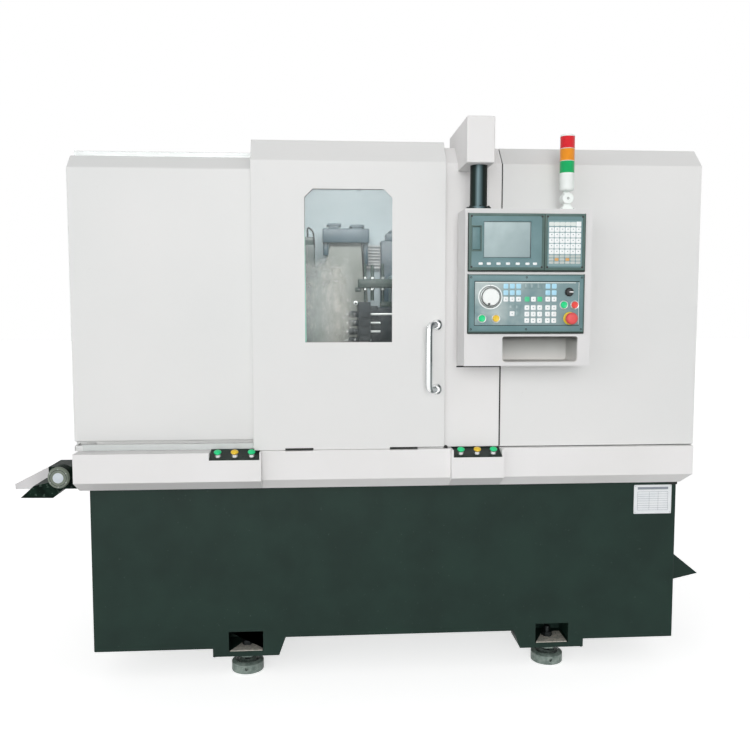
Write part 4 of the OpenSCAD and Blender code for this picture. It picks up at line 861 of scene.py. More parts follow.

# dark strips under and beside the plates, widest below: painted shade at their edges; round the overlay, dark
# edge lines and pale lines inside its top and right edges: painted highlight
shape = Shape()
for low, high in ((dispLow, keysHigh), (operLow, operHigh)):
    shape.slab((low.x - 2.6, front + 1.2, low.z - 4.6), (low.x + 1, back, high.z + 0.8), 0.3, 1)
    shape.slab((high.x - 1, front + 1.2, low.z - 4.6), (high.x + 2.0, back, high.z + 0.8), 0.3, 1)
    shape.slab((low.x, front + 0.6, low.z - 5.4), (high.x, back, low.z + 1), 0.3, 1)
shape.slab((dispHigh.x - 1.2, front - 1.8, dispLow.z + 1),
           (dispHigh.x + 1.2, front + 0.4, dispHigh.z - 1), 0.2, 1)
for x0, z0, x1, z1, rise, slot in (
        (fx, gz - 2.4, gx, gz, 0.5, 0), (fx, fz, gx, fz + 2.0, 0.5, 0), (fx, fz, fx + 2.0, gz, 0.5, 0),
        (fx + 4, gz - 6.6, gx - 12, gz - 4.2, 0.6, 1), (gx - 2.2, fz + 4, gx - 0.6, gz - 4, 0.6, 1)):
    shape.slab((x0, front + rise, z0), (x1, front + 1.1, z1), 0.1, 1, slot)
shape.finish("panelEdgeShadeLines", [deepEnamel, keyPale], "pendant", "panel_grey")

# panel screws at the corners and half-way along the long edges
inset = panels["screwInset"]
spots = []
for low, high, columns in ((dispLow, dispHigh, 2), (keysLow, keysHigh, 2), (operLow, operHigh, 3)):
    for k in range(columns):
        x = low.x + inset + (high.x - low.x - 2 * inset) * k / (columns - 1)
        spots += [((x, front - 0.4, z), toUser) for z in (low.z + inset + 1, high.z - inset - 1)]
screws("panelScrews", spots, panels["screwRadius"], 1.8, blackPlastic, "pendant")


def keyRow(name, spots, wide, tall, finish, stands=()):
    growOn(name, keyTree, {
        "Key Width": wide / 1000, "Key Height": tall / 1000, "Corner": panels["keyCorner"] / 1000,
        "Rise": panels["keyRise"] / 1000, "Finish": finish}, spots, "pendant", stands)


def keyGrid(x, z, columns, rows, pitch, lift):
    return [((x + c * pitch, front - lift, z - k * pitch), toUser)
            for k in range(rows) for c in range(columns)]


def operKeys(*blocks):
    # blocks: (x, z, columns, rows), measured from the panel's upper left corner
    spots = []
    for x, z, columns, rows in blocks:
        spots += keyGrid(operLow.x + x, operHigh.z - z, columns, rows, panels["operPitch"],
                         panels["operSunk"])
    return spots


wide, tall, lift = panels["wideKey"], panels["tallKey"], panels["keyLift"]
grid = keyGrid(keyX, keyZ, 6, 6, pitch, lift)
keyRow("keysWhite", grid[5:], wide, tall, keyWhite, ["panel_keys"])
keyRow("keysHeading", grid[:5], wide + 1.2, tall - 3, keyPale)
footZ = keyZ - 6 * pitch
small = [((keyX + c * pitch, front - lift, footZ + 3 - k * drop), toUser)
         for columns, count, drop in (((0, 2, 4, 5), 3, 10.3),
                                      ((1, 3), 2, 20.6)) for c in columns for k in range(count)]
keyRow("keysStone", small, wide - 1, 8.2, keyGrey)
keyRow("keysOrange", [((keyX + c * pitch, front - lift, footZ - 7.3), toUser) for c in (1, 3)], 13, 9.5,
       keyOrange)
softKeys = [((dispLow.x + 40 + along, front, dispLow.z + 21), toUser)
            for along in (0, 27.3, 59.7, 91.7, 124.4, 157.1, 182.4)]
keyRow("keysBelowScreen", softKeys, 14, 8, keyWhite)

size, step = panels["operKey"], panels["operPitch"]
keyRow("keysBlue", operKeys((126, 39, 3, 2), (268, 39, 2, 2)), size, size, keyBlue)
keyRow("keysGreen", operKeys((198, 82, 1, 1), (198 + 2 * step, 82, 1, 1)), size, size, keyGreen)
plain = operKeys((126, 39 + 2 * step, 3, 1), (198 + step, 82, 1, 1), (198, 110, 3, 3),
                 (268, 39 + 2 * step, 2, 1),
                 (268, 110, 2, 3), (148, 130, 1, 1))
keyRow("keysOperator", plain, size, size, keyWhite)
keyRow("keysUnlit", operKeys((198, 39, 3, 1), (148, 110, 2, 1), (169.5, 130, 1, 1)), size, size, overlay)

# small printed squares on the keys, plain marks that stand for symbols
marks = [((p[0], p[1] - panels["markBelow"], p[2] + up), out)
         for spots, up in ((grid[6:], 1.5), (plain, 0.0)) for p, out in spots]
bars("keyMarks", (4.2, 2.0, 0.2), panelCoat, marks, "pendant")
print("control panels are fitted")

# ---- push buttons, key switch, emergency stop
satinChrome = workedMetal(
    "satinChromeRing", "#e9ebeb", "#f1f2f2", rough=0.38, lineMm=1.4, stretch=(1, 1, 1), depthMm=0.004,
    smudgeMm=8)
collar = [(11.4, -30), (12.5, -30), (12.5, 0.2), (14.5, 0.2), (14.5, 3.8), (12.9, 5.4), (12.6, 6.0),
          (11.6, 5.7), (11.4, 4.5)]
shape = Shape()
for node in collared:
    x, z = centreOf(node)
    shape.turned((x, front, z), toUser, collar, 40, int(node == "key_switch"))
shape.finish("panelCollars", [satinChrome, blackPlastic], "pendant", "silver_bezel", ["push_collars"])
stem = [(0, -28), (4.4, -28), (4.4, -8), (10.9, -8)]
for node, (name, finish, slotName) in buttons.items():
    x, z = centreOf(node)
    shape = Shape()
    profile = stem + [(10.9, 8.2), (10.4, 9.2), (9.4, 9.7), (8.6, 9.3), (0, 9.6)]
    shape.turned((x, front, z), toUser, profile, 40)
    shape.finish(name, [finish], node, slotName, [node])

x, z = centreOf("key_switch")
shape = Shape()
barrel = stem + [(10.9, 6.5), (9.8, 7.8), (5.2, 7.9), (5.2, 8.3), (4.9, 8.5), (0, 8.5)]
shape.turned((x, front, z), toUser, barrel, 40)
shape.slab((x - 4.2, front - 8.7, z - 1.2), (x + 4.2, front - 8.2, z + 1.2), 0.2, 1)
shape.prism(roundRect(x - 4.0, z - 1.3, x + 9.0, z + 1.3, 1.0, 2), front - 19.6, front - 8.3, 0.3, 1, 1)
shape.turned((x + 5.4, front - 14.2, z - 1.4), upward, [(2.0, 0), (5.2, 0), (5.2, 2.8), (2.0, 2.8)], 24, 1)
shape.finish("keySwitch", [blackPlastic, satinChrome], "key_switch", "key_switch_black", ["key_switch"])
x, z = centreOf("estop_button")
shape = Shape()
collar = [(8.9, -30), (12.5, -30), (12.5, 0.2), (21.5, 0.2), (21.5, 3.2), (20.2, 5.0), (17.5, 6.0),
          (9.6, 6.0), (8.9, 5.4)]
shape.turned((x, front, z), toUser, collar, 56)
shape.finish("stopCollar", [stopYellow], "pendant", "estop_yellow", ["estop_collar"])
shape = Shape()
cap = [(0, -28), (4.4, -28), (4.4, -10), (8.4, -10), (8.4, 17.5), (15.5, 18.2), (18.3, 18.8), (19.9, 21.0),
       (20.0, 24.5), (19.5, 28.5), (18.0, 32.0), (15.4, 34.6), (11.8, 35.8), (6.5, 36.0), (0, 36.0)]
shape.turned((x, front, z), toUser, cap, 56)
shape.finish("stopButton", [stopRed], "estop_button", "estop_red", ["estop_button"])

# ---- hand pulse wheel with its scale ring
x, z = centreOf("handwheel")
wheel = {"knob": (-8.0, -23.0), "marks": 100, "face": -5.35}
shape = Shape()
skirt = [(0, -22), (4.9, -22), (4.9, -0.4), (35.0, -0.4), (35.8, 0.4), (35.8, 3.0), (34.2, 5.0), (33.0, 5.6),
         (31.6, 5.8), (31.6, 3.4), (0, 3.4)]
shape.turned((x, front, z), toUser, skirt, 96, 2)
# black disc just behind the dial, showing as a thin dark ring round it: painted shade in the groove
shape.turned((x, front - 3.0, z), toUser, [(0, 0), (31.4, 0), (31.4, 1.2), (0, 1.2)], 72, 1)
dial = [(0, 0), (28.4, 0), (28.2, 9.0), (27.2, 10.4), (25.6, 11.0), (24.0, 10.6), (23.2, 9.8), (0, 9.8)]
shape.turned((x, front - 3.6, z), toUser, dial, 96)
shape.turned((x, front - 13.2, z), toUser, [(0, 0), (2.2, 0), (2.2, 0.5), (1.8, 0.8), (0, 0.8)], 20)
knob = [(0, 0), (3.4, 0), (3.4, 1.2), (2.4, 2.0), (2.4, 6.0), (3.3, 7.2), (3.5, 10.0), (3.0, 12.2),
        (1.8, 12.9), (0, 12.9)]
shape.turned((x + wheel["knob"][0], front - 13.2, z + wheel["knob"][1]), toUser, knob, 20, 1)
shape.finish("handwheelDial", [dialWhite, blackPlastic, turnedSteel], "handwheel", "dial_white",
             ["handwheel"])
shape = Shape()      # every tenth mark of the scale is longer
for k in range(wheel["marks"]):
    radius, long, wide = (33.7, 1.9, 0.32) if k % 10 else (33.4, 3.4, 0.7)
    turns = k / wheel["marks"]
    a, b = around(radius, turns)
    turn = Matrix.Rotation(-2 * math.pi * turns, 4, "Y")
    turn = Matrix.Translation((x + a, front + wheel["face"], z + b)) @ turn
    shape.slab((-long / 2, -0.25, -wide / 2), (long / 2, 0.15, wide / 2), turn=turn)
shape.finish("handwheelMarks", [blackPlastic], "handwheel", "key_switch_black")
brushedRing = workedMetal(
    "brushedAluminiumRing", "#a3aaaa", "#d5d9d8", rough=0.32, lineMm=5, stretch=(1, 1, 1), depthMm=0.01,
    smudgeMm=26)
shape = Shape()      # brushed ring let into the panel round the wheel, with its zero mark
ring = [(36.3, 0), (41.0, 0), (41.0, 1.6), (40.2, 2.4), (37.2, 2.4), (36.3, 1.6)]
shape.turned((x, front + 1.2, z), toUser, ring, 96)
shape.slab((x - 0.5, front - 1.5, z + 36.8), (x + 0.5, front - 1.1, z + 40.2), slot=1)
shape.finish("handwheelRing", [brushedRing, blackPlastic], "pendant", "silver_bezel")
print("buttons and wheel are fitted")

# pressed liner of the hand recess: rounded mouth, its colour darkening towards the roof as painted shade,
# with a little mottling
recess = {"x0": 356.0, "x1": 613.0, "z0": 1159.0, "z1": 1246.0, "deep": 124.0}
x0, x1, z0, z1, far = recess["x0"], recess["x1"], recess["z0"], recess["z1"], back + recess["deep"]
shade = Finish("texturedPowderRecessGrey")
up = shade.scale(shade.split(shade.place)["Z"], z0 / 1000, z1 / 1000)
up = shade.combine("ADD", up, shade.combine("MULTIPLY", shade.noise(60, 2.0), 0.12))
tint = shade.ramp(up, ((0.06, "#e6e4e1"), (0.45, "#d2d3d0"), (0.84, "#bcbdba"), (1.0, "#6c6d6a")))
shade.shade(tint, 0.6, Specular_IOR_Level=0.2)
shadeFinish = shade.close(shade.noise(1.6, 2.0), 0.03)
shape = Shape()
mouth = roundRect(x0 + 2, z0 + 2, x1 - 2, z1 - 2, 11, 6)
shape.prism(rect(x0 + 0.4, z0 + 0.4, x1 - 0.4, z1 - 0.4), back + 0.4, far, 0.0, 1, 0, [mouth])
shape.slab((x0 + 1, far - 1, z0 + 1), (x1 - 1, far + 1, z1 - 1))
shape.finish("recessLiner", [shadeFinish], "pendant", "box_paint")


# ---- tube from the arm down to the box
def reflectionPaintedMetal(name, metal, rough, reflectionBands, shine=0.5):
    # polished round stock: painted reflections and a painted highlight in its colour, set by the way each
    # side
    # faces: light where it faces the lamps, dark on its flanks, in long soft bands along it
    finish = Finish(name)
    across = finish.split(finish.add("ShaderNodeTexCoord")["Normal"])["X"]
    drift = finish.combine("MULTIPLY", finish.noise(60, 2.0, 0.5, (1, 1, 0.15)), 0.16)
    across = finish.combine("ADD", finish.scale(across, -1.0, 1.0), drift)
    finish.shade(finish.ramp(across, reflectionBands), rough, Metallic=metal, Specular_IOR_Level=shine)
    return finish.close(finish.noise(4, 2.0), 0.004)


# the chrome's bands and the lacquered tube's pale middle band are painted reflection and painted highlight
chromeBar = reflectionPaintedMetal("chromePlatedTube", 0.9, 0.12, (
    (0.08, "#a9aeb0"), (0.22, "#f2f4f4"), (0.62, "#f6f7f7"), (0.76, "#8a9294"), (0.90, "#5f6869"),
    (1.0, "#b9bfc0")))
tubeLacquer = reflectionPaintedMetal("gunmetalLacqueredTube", 0.0, 0.4, (
    (0.10, "#0b1412"), (0.30, "#1d2d29"), (0.46, "#7f979c"), (0.62, "#4b6064"), (0.76, "#15211e"),
    (1.0, "#0d1614")), shine=0.12)
tubeLow, tubeHigh = boxOf("pendant_tube")
tubeX, tubeY, tall = (tubeLow.x + tubeHigh.x) / 2, (tubeLow.y + tubeHigh.y) / 2, tubeHigh.z - tubeLow.z
tube = {"bore": 24.0, "radius": 28.5, "flange": 42.0, "bolts": 6, "boltRadius": 35.2}
bore, radius, flange = tube["bore"], tube["radius"], tube["flange"]
profile = [(bore, 0), (flange, 0), (flange, 7.0), (41.0, 8.5), (31.5, 8.5), (30.0, 9.5), (radius, 12.0),
           (radius, tall - 32), (34.5, tall - 31), (35.5, tall - 30), (35.5, tall - 24), (radius, tall - 24),
           (radius, tall), (bore, tall)]
shape = Shape()
shape.turned((tubeX, tubeY, tubeLow.z), upward, profile, 64)
shape.finish("pendantTube", [tubeLacquer], "pendant", "black_tube", ["pendant_tube"])
spots = [((x, y, tubeLow.z + 8.4), upward)
         for x, y in circle(tubeX, tubeY, tube["boltRadius"], tube["bolts"], 0.5)]
screws("tubeBolts", spots, 4.0, 4.0, blackSteel, "pendant")

# ---- signal tower on its folding knuckle
footLow, footHigh = boxOf("tower_bracket")
towerX, towerY, base = (footLow.x + footHigh.x) / 2, (footLow.y + footHigh.y) / 2, footLow.z
tower = {"radius": 24.5, "knuckleZ": 1710.0, "ribs": 12, "ribDepth": 0.8}
r, hub = tower["radius"], tower["knuckleZ"]
cheek = [(18.2, 0), (19.0, 0.9), (19.0, 17.5), (17.6, 19.0)]
shape = Shape()
shape.prism(roundRect(towerX - 27, towerY - 22, towerX + 27, towerY + 22, 7), base, base + 7, 1.4, 3,
            axis="z")
# the foot narrows in steps: (height, half width, half depth)
steps = [(base + 6.5, 24, 17), (base + 10, 19, 14), (base + 15, 14.5, 12.5), (base + 22, 11, 11),
         (base + 30, 9.5, 10)]
for (z0, w0, d0), (z1, w1, _) in zip(steps, steps[1:]):
    outline = [(towerX - w0, z0), (towerX + w0, z0), (towerX + w1, z1), (towerX - w1, z1)]
    far = towerY - 1.5 if z0 > base + 12 else towerY + d0 * 0.9
    shape.prism(outline, towerY - d0 * 0.95, far, 0.8)
shape.slab((towerX - 9, towerY - 19, base + 28), (towerX + 9, towerY - 1.2, hub), 1.5)
boss = [(4.1, 0)] + cheek + [(13.5, 19.3), (12.9, 18.4), (9.4, 18.4), (9.0, 19.0), (4.1, 19.0)]
shape.turned((towerX, towerY - 0.4, hub), toUser, boss, 56)
shape.finish("towerFoot", [whitePlastic], "pendant", "tower_white", ["tower_bracket"])
shape = Shape()
shape.turned((towerX, towerY + 18.2, hub), toUser, [(0, 0), (3.9, 0), (3.9, 37.0), (0, 37.0)], 20)
cap = [(0, 0), (4.6, 0), (4.6, 1.4), (3.8, 2.0), (2.6, 2.0), (2.3, 1.0), (0, 1.0)]
shape.turned((towerX, towerY - 18.4, hub), toUser, cap, 24)
shape.finish("towerPin", [zincSteel], "pendant", "zinc_steel")
spots = [((towerX + sx * 20, towerY + sy * 15, base + 6.9), upward) for sx in (-1, 1) for sy in (-1, 1)]
screws("towerFootScrews", spots, 3.0, 2.0, zincSteel, "pendant")

lensLow, lensHigh = (corner.z for corner in boxOf("green_lens"))
lensTall, pitchUp = lensHigh - lensLow, boxOf("amber_lens")[0].z - lensLow
lowZ, gap = hub + 25, pitchUp - lensTall
neck = lensLow - lowZ
shape = Shape()
shape.turned((towerX, towerY + 0.4, hub), outBack, [(4.3, 0)] + cheek + [(4.3, 19.2)], 56)
shape.slab((towerX - 9, towerY + 1.2, hub), (towerX + 9, towerY + 17.6, hub + 26), 1.5)
body = [(0, 0), (13, 0), (17, 0.6), (21, 2.4), (23.6, 5.2), (r, 9), (r, neck - 7), (r + 0.5, neck - 6),
        (r + 0.5, neck - 1.4), (r, neck), (0, neck)]
shape.turned((towerX, towerY, lowZ), upward, body, 64)
ring = [(20, 0), (23.4, 0), (23.8, 0.5), (23.8, gap - 0.5), (23.4, gap), (20, gap)]
for k in (1, 2):        # pale rings between the lenses
    shape.turned((towerX, towerY, lensLow + k * pitchUp - gap), upward, ring, 56)
cap = [(0, 0), (r, 0), (r + 0.3, 0.8), (r + 0.2, 3.2), (r - 1.2, 5.4), (r - 5, 6.6), (0, 7.0)]
shape.turned((towerX, towerY, lensLow + 2 * pitchUp + lensTall), upward, cap, 64)
core = 3 * pitchUp + 2
shape.turned((towerX, towerY, lensLow - 2), upward, [(0, 0), (6, 0), (6, core), (0, core)], 24)
shape.finish("towerStem", [whitePlastic], "signal_tower", "tower_white", ["tower_body"])
rib = (lensTall - 2.4) / tower["ribs"]
profile = [(21.4, 0.2), (r, 0.2)]
for n in range(tower["ribs"]):
    profile += [(r, 1.2 + n * rib), (r - tower["ribDepth"], 1.2 + n * rib + rib * 0.5)]
profile += [(r, lensTall - 1.2), (r, lensTall - 0.2), (21.4, lensTall - 0.2)]
for k, (colour, finish) in enumerate((("green", lensGreen), ("amber", amberPlastic), ("red", redPlastic))):
    shape = Shape()
    shape.turned((towerX, towerY, lensLow + k * pitchUp), upward, profile, 64)
    shape.finish(colour + "Lens", [finish], "signal_tower", "lens_" + colour, [colour + "_lens"], 50)
print("tube and tower are fitted")

# ---- door: glass, its edge and seal, chrome handle
glassLow, glassHigh = boxOf("door_window")
doorLow, doorHigh = boxOf("door_panel")
handleLow, handleHigh = boxOf("door_handle")
window = {"over": 14.0, "cut": 29.0, "edgeTop": 1.6, "edgeFoot": 5.2, "seal": 2.6}
over, cut, wide = window["over"], window["cut"], window["seal"]
x0, x1, z0, z1 = glassLow.x + over, glassHigh.x - over, glassLow.z + over, glassHigh.z - over

# Laminated safety glass: pale blue-green and misted in random patches, paler and more opaque towards the top
# as a painted reflection of the studio
glass = Finish("laminatedGlassMisted")
place = glass.split(glass.place)
up = glass.scale(place["Z"], z0 / 1000, z1 / 1000)
mist = glass.scale(glass.noise(150, 4.0, 0.6), 0.3, 0.7, -0.03, 0.03)
hazeAndReflection = glass.ramp(up, ((0.0, 0.02), (0.30, 0.03), (0.55, 0.06), (0.78, 0.14), (1.0, 0.30)))
hazeAndReflection = glass.combine("ADD", hazeAndReflection, mist)
tint = glass.mix(up, "#b9c2bf", "#d9e7ea")
# dried coolant where the spray lands: a grey-green film with runs, thickest in the lower left corner
across = glass.scale(place["X"], at(x0, 0, 0).x, at(x1, 0, 0).x)
ragged = glass.scale(glass.noise(60, 3.0, 0.6), 0.0, 1.0, -0.22, 0.22)
edgeX, edgeZ = (glass.combine("ADD", way, ragged) for way in (across, up))
sideways = glass.scale(edgeX, 0.26, 0.62, 1.0, 0.0, interpolation_type="SMOOTHSTEP")
upwards = glass.scale(edgeZ, 0.36, 0.62, 1.0, 0.0, interpolation_type="SMOOTHSTEP")
film = glass.combine("MULTIPLY", sideways, upwards)
runs = glass.noise(26, 5.0, 0.7, (1, 1, 0.45))
film = glass.combine("MULTIPLY", film, glass.scale(runs, 0.3, 0.6, 0.62, 0.88))
filmColour = glass.ramp(across, ((0.0, "#586661"), (0.14, "#7b8782"), (0.36, "#9da199"), (0.6, "#a8aba3")))
filmColour = glass.mix(glass.scale(runs, 0.52, 0.72, 0.0, 0.3), filmColour, "#bcbaa8")
tint = glass.mix(glass.combine("MULTIPLY", film, 3.0, use_clamp=True), tint, filmColour)
hazeAndReflection = glass.combine("MAXIMUM", hazeAndReflection, film)
drops = glass.noise(7, 3.0)
glass.shade(tint, 0.12, Alpha=hazeAndReflection)
glassFinish = glass.close(drops, 0.003)
a, b, c, d = x0 - over, x1 + over, z0 - over, z1 + over
shape = Shape()
pane = [(a, c), (b, c), (b, d - cut), (b - cut, d), (a + cut, d), (a, d - cut)]
shape.prism(pane, glassLow.y, glassHigh.y, 0.6, 1)
shape.finish("windowGlass", [glassFinish], "door", "window_glass", ["door_window"])

# The cut edge of the glass shows bottle-green down the left of the opening
edgeGreen = mouldedPlastic("groundGlassEdgeGreen", "#4f9a84", "#7fb8a6", rough=0.2, wearMm=60, coat=0.4)
top, near = z1 - cut - 60, glassLow.y - 0.1
shape = Shape()
shape.prism([(x0 - 1, z0), (x0 + window["edgeFoot"], z0), (x0 + window["edgeTop"] + 1.4, z0 + 260),
             (x0 + window["edgeTop"], top), (x0 - 1, top)], glassLow.y - 1.4, near, 0.2, 1)
shape.finish("glassEdge", [edgeGreen], "door", "window_glass")
# grey strip along the top and upper left of the opening, and a thin one along its foot: a seal, and the
# painted shadow of the opening's edge on the glass
sealAndShadowGrey = mouldedPlastic("extrudedSealWarmGrey", "#77706f", "#8d8887", rough=0.6, wearMm=40)
shape = Shape()
inner = [(x0 + wide * 0.6, z1 - cut - 110), (x0 + wide * 0.6, z1 - cut - 1), (x0 + cut + 1, z1 - wide),
         (x1 - cut - 4, z1 - wide * 0.7)]
outer = [(x1 - cut - 4, z1 + 1), (x0 + cut, z1 + 1), (x0 - 1, z1 - cut), (x0 - 1, z1 - cut - 110)]
shape.prism(inner + outer, glassLow.y - 1.6, near, 0.2, 1)
shape.slab((x0 + 4, glassLow.y - 1.6, z0 - 1), (x1 - 80, near, z0 + 1.8), 0.2, 1)
shape.finish("glassSealAndShadow", [sealAndShadowGrey], "door", "window_glass")
# clamp strips that hold the glass from inside
shape = Shape()
behind = glassHigh.y
for a, c, b, d in ((x0 - 34, z0 - 34, x1 + 34, z0 - 12), (x0 - 34, z1 + 12, x1 + 34, z1 + 34),
                   (x0 - 34, z0 - 12, x0 - 12, z1 + 12), (x1 + 12, z0 - 12, x1 + 34, z1 + 12)):
    shape.slab((a, behind, c), (b, behind + 3, d), 0.6)
shape.finish("glassClamps", [greyCoat], "door", "light_grey_paint")
points = [(x, z0 - 20 + k * (z1 - z0 + 40) / 7) for x in (x0 - 23, x1 + 23) for k in range(8)]
points += [(x0 + 40 + k * (x1 - x0 - 80) / 3, z) for k in range(4) for z in (z0 - 23, z1 + 23)]
screws("clampScrews", [((x, behind + 2.9, z), outBack) for x, z in points], 4.5, 3.2, zincSteel, "door")

# handle: bent chrome tube between two domed flanges
handle = {"x": 155.0, "legs": 113.0, "radius": 11.5, "reach": 60.0, "lean": 33.0, "bend": 24.0, "dome": 19.5}
middle, d, angle = (handleLow.z + handleHigh.z) / 2, handle["dome"], math.radians(handle["lean"])
out = Vector((-math.sin(angle), -math.cos(angle), 0)) * handle["reach"]
ends = [Vector((handle["x"], doorLow.y, middle + sign * handle["legs"])) for sign in (-1, 1)]
dome = [(0, -2.5), (13, -2.5), (13, 0.1), (d - 2, 0.1), (d - 0.6, 1.0), (d, 2.6), (d - 0.3, 4.6),
        (d - 1.6, 7.4),
        (d - 3.8, 10.4), (d - 6.4, 12.8), (d - 8.2, 14.4), (0, 14.4)]
shape = Shape()
for foot in ends:
    shape.turned(foot, toUser, dome, 48)
inward = Vector((0, 1, 0))
path = [ends[0] + inward, ends[0] + out, ends[1] + out, ends[1] + inward]
shape.pipe(path, handle["radius"], 32, handle["bend"])
shape.finish("handleBar", [chromeBar], "door", "chrome_bar", ["door_handle"])
shape = Shape()
for foot in ends:
    grub = [(2.2, -1), (3.4, -1), (3.4, 0.8), (2.2, 0.8)]
    shape.turned((foot.x + 9.5, foot.y - 11.2, foot.z - 9.5), (0.45, -0.8, -0.45), grub, 16)
shape.finish("handleGrubs", [blackSteel], "door", "black_steel")
print("door is fitted")


# ---- what shows through the window
blockLow, blockHigh = boxOf("tool_block")
tankBlue = paintedSteel(
    "paintedValveBodyBlueGrey", "#214450", "#1d3b46", "#1f343a", driftMm=60, specks=(9, 0.66, 0.4),
    peel=(7, 0.1), rough=0.4)
valve = {"low": (-238, 520, 1612), "high": (-43, 610, 1671), "knobs": ((-191, 1693), (-95, 1688))}
shape = Shape()
shape.slab(valve["low"], valve["high"], 5.0, 3)
for x, top in valve["knobs"]:
    shape.slab((x - 21, 535, valve["high"][2] - 2), (x + 21, 590, top - 10), 3.0)
    shape.prism([(x - 32, top - 10), (x + 32, top - 12), (x + 30, top), (x - 24, top)], 530, 598, 3.0)
shape.slab((-236, 545, 1560), (-214, 605, 1616), 4.0)
shape.slab((-66, 560, 1520), (-46, 605, 1616), 4.0)
shape.finish("valveBody", [tankBlue], "machine", "cast_head")
splashPale = paintedSteel(
    "powderCoatedSplashWallPaleBlue", "#cfdde0", "#c5d5d8", "#a9b8bb", driftMm=260, specks=(12, 0.66, 0.3),
    peel=(5, 0.03), rough=0.5, shine=0.2)
shape = Shape()
shape.slab((-500, 690, 1180), (-272, 696, 1845), 1.0)
shape.slab((-274, 690, 1180), (370, 696, 1845), 1.0)
bend = [around(1.0, k / 64) for k in range(17)]
cove = [(430 + 263 * c, 1640 + 222 * s) for c, s in bend]
cove += [(430 + 260 * c, 1640 + 219 * s) for c, s in bend[::-1]]
shape.prism(cove, -500, 370, axis="x")
shape.finish("splashWall", [splashPale], "machine", "light_grey_paint")
columnPaint = paintedSteel(
    "paintedCastIronStoneGrey", "#8d918b", "#7d827c", "#6f756f", driftMm=90, specks=(12, 0.64, 0.4),
    peel=(9, 0.12), rough=0.5, shine=0.2)
shape = Shape()
shape.prism([(-300, 1195), (-40, 1195), (-50, 1425), (-58, 1505), (-70, 1613), (-206, 1613), (-224, 1540),
             (-242, 1478), (-264, 1425)], 552, 640, 6.0, 3)
shape.slab((-250, 540, 1190), (-36, 660, 1206), 3.0)
shape.finish("upright", [columnPaint], "machine", "cast_machine")
shape = Shape()      # dark pump body and hoses beside the spindle nose
shape.slab((-330, 500, 1180), (-270, 590, 1606), 8.0, 3)
shape.slab((-322, 505, 1600), (-274, 580, 1634), 5.0)
shape.finish("pumpBody", [pipeGreen], "machine", "cast_head")
shape = Shape()
shape.pipe([(-300, 520, 1625), (-300, 500, 1675), (-276, 500, 1655), (-272, 505, 1590)], 4.0, 10, 18)
shape.pipe([(-74, 546, 1612), (-70, 546, 1560), (-66, 546, 1500), (-64, 548, 1440)], 3.2, 10, 30)
for k in range(9):
    coil = [(3.2, 0), (4.8, 0.5), (4.8, 3.0), (3.2, 3.5)]
    shape.turned((-66 - k * 0.4, 546, 1500 + k * 9), upward, coil, 14)
shape.finish("hoses", [rubber], "machine", "black_steel")
shape = Shape()      # stepped gear housing at the right
for low, high in (((13, 600, 1180), (200, 688, 1628)), ((34, 600, 1626), (190, 688, 1660)),
                  ((48, 606, 1658), (180, 684, 1672))):
    shape.slab(low, high, 4.0)
shape.finish("gearHousing", [tankBlue], "machine", "cast_machine")
shape = Shape()      # folds of the way cover between the two housings
for k in range(8):
    shape.slab((-52, 660 - (k % 2) * 6, 1512 + k * 13), (24, 680, 1521 + k * 13), 2.0)
shape.finish("wayCover", [greyCoat], "machine", "light_grey_paint")

# ---- tool block, its tools and the coolant manifold ride on the cross slide
tools = {"deep": 14, "first": 46.5, "pitch": 33.5, "reach": (134, 88, 88, 52)}
toolY, top = boxOf("tool_holders")[0].y + tools["deep"], blockHigh.z
toolZs = [top - tools["first"] - tools["pitch"] * k for k in range(4)]
shape = Shape()
shape.slab(blockLow, blockHigh, 2.0)
shape.slab((blockHigh.x - 6, 266, top - 64), (blockHigh.x + 32, 288, top - 14), 2.0)
shape.slab((blockHigh.x - 4, 286, blockLow.z + 120), (60, 326, top - 20), 2.0)
for z in toolZs:
    shape.slab((blockLow.x + 8, blockLow.y - 4, z - 12), (blockHigh.x - 6, blockLow.y + 1, z + 12), 1.2)
shape.finish("toolBlock", [darkTool], "x_slide", "tool_block_black", ["tool_block"])
spots = [((x, blockLow.y - 3.8, z + s), toUser)
         for z in toolZs for x in (blockLow.x + 15, blockHigh.x - 13) for s in (-6, 6)]
screws("toolBlockScrews", spots, 3.2, 2.6, blackSteel, "x_slide")
shape = Shape()
for z, reach in zip(toolZs, tools["reach"]):
    for profile, sides, slot in (
            ([(0, 0), (11.4, 0), (11.4, 12.5), (0, 12.5)], 28, 0),
            ([(0, 12), (9.0, 12), (9.0, 14.6), (0, 14.6)], 28, 1),
            ([(0, 14), (12.5, 14), (13.4, 15), (13.4, 22), (12.0, 23.5), (12.0, 33), (9.5, 37), (4.0, 39),
              (0, 39)], 32, 0),
            ([(0, 38), (3.2, 38), (3.2, 47), (1.4, 50), (0.6, 57), (0, 57)], 20, 1)):
        shape.turned((blockLow.x + 1, toolY, z), toLeft, profile, sides, slot)
    shank = [(0, 0), (4.2, 0), (4.2, reach - 47), (3.4, reach - 45), (0, reach - 45)]
    shape.turned((blockHigh.x - 2, toolY, z), toRight, shank, 24, 2)
shape.finish("toolHolders", [darkTool, groundSteel, whitePlastic], "x_slide", "tool_steel", ["tool_holders"])
shape = Shape()
ball = [(0, -9)] + [(b, -a) for a, b in (around(9, k / 24) for k in range(1, 12))] + [(0, 9)]
shape.turned((-114, 228, top - 4), toUser, ball, 28)
shape.turned((-114, 222, top - 4), toUser, [(0, 0), (3.4, 0), (3.4, 3.6), (2.4, 4.2), (0, 4.2)], 20, 1)
shape.pipe([(-112, 232, top - 6), (-100, 250, top - 14), (-96, 262, top - 14)], 3.0, 12, 4, 1)
shape.finish("nozzleBall", [whitePlastic, blackPlastic], "x_slide", "tool_steel")

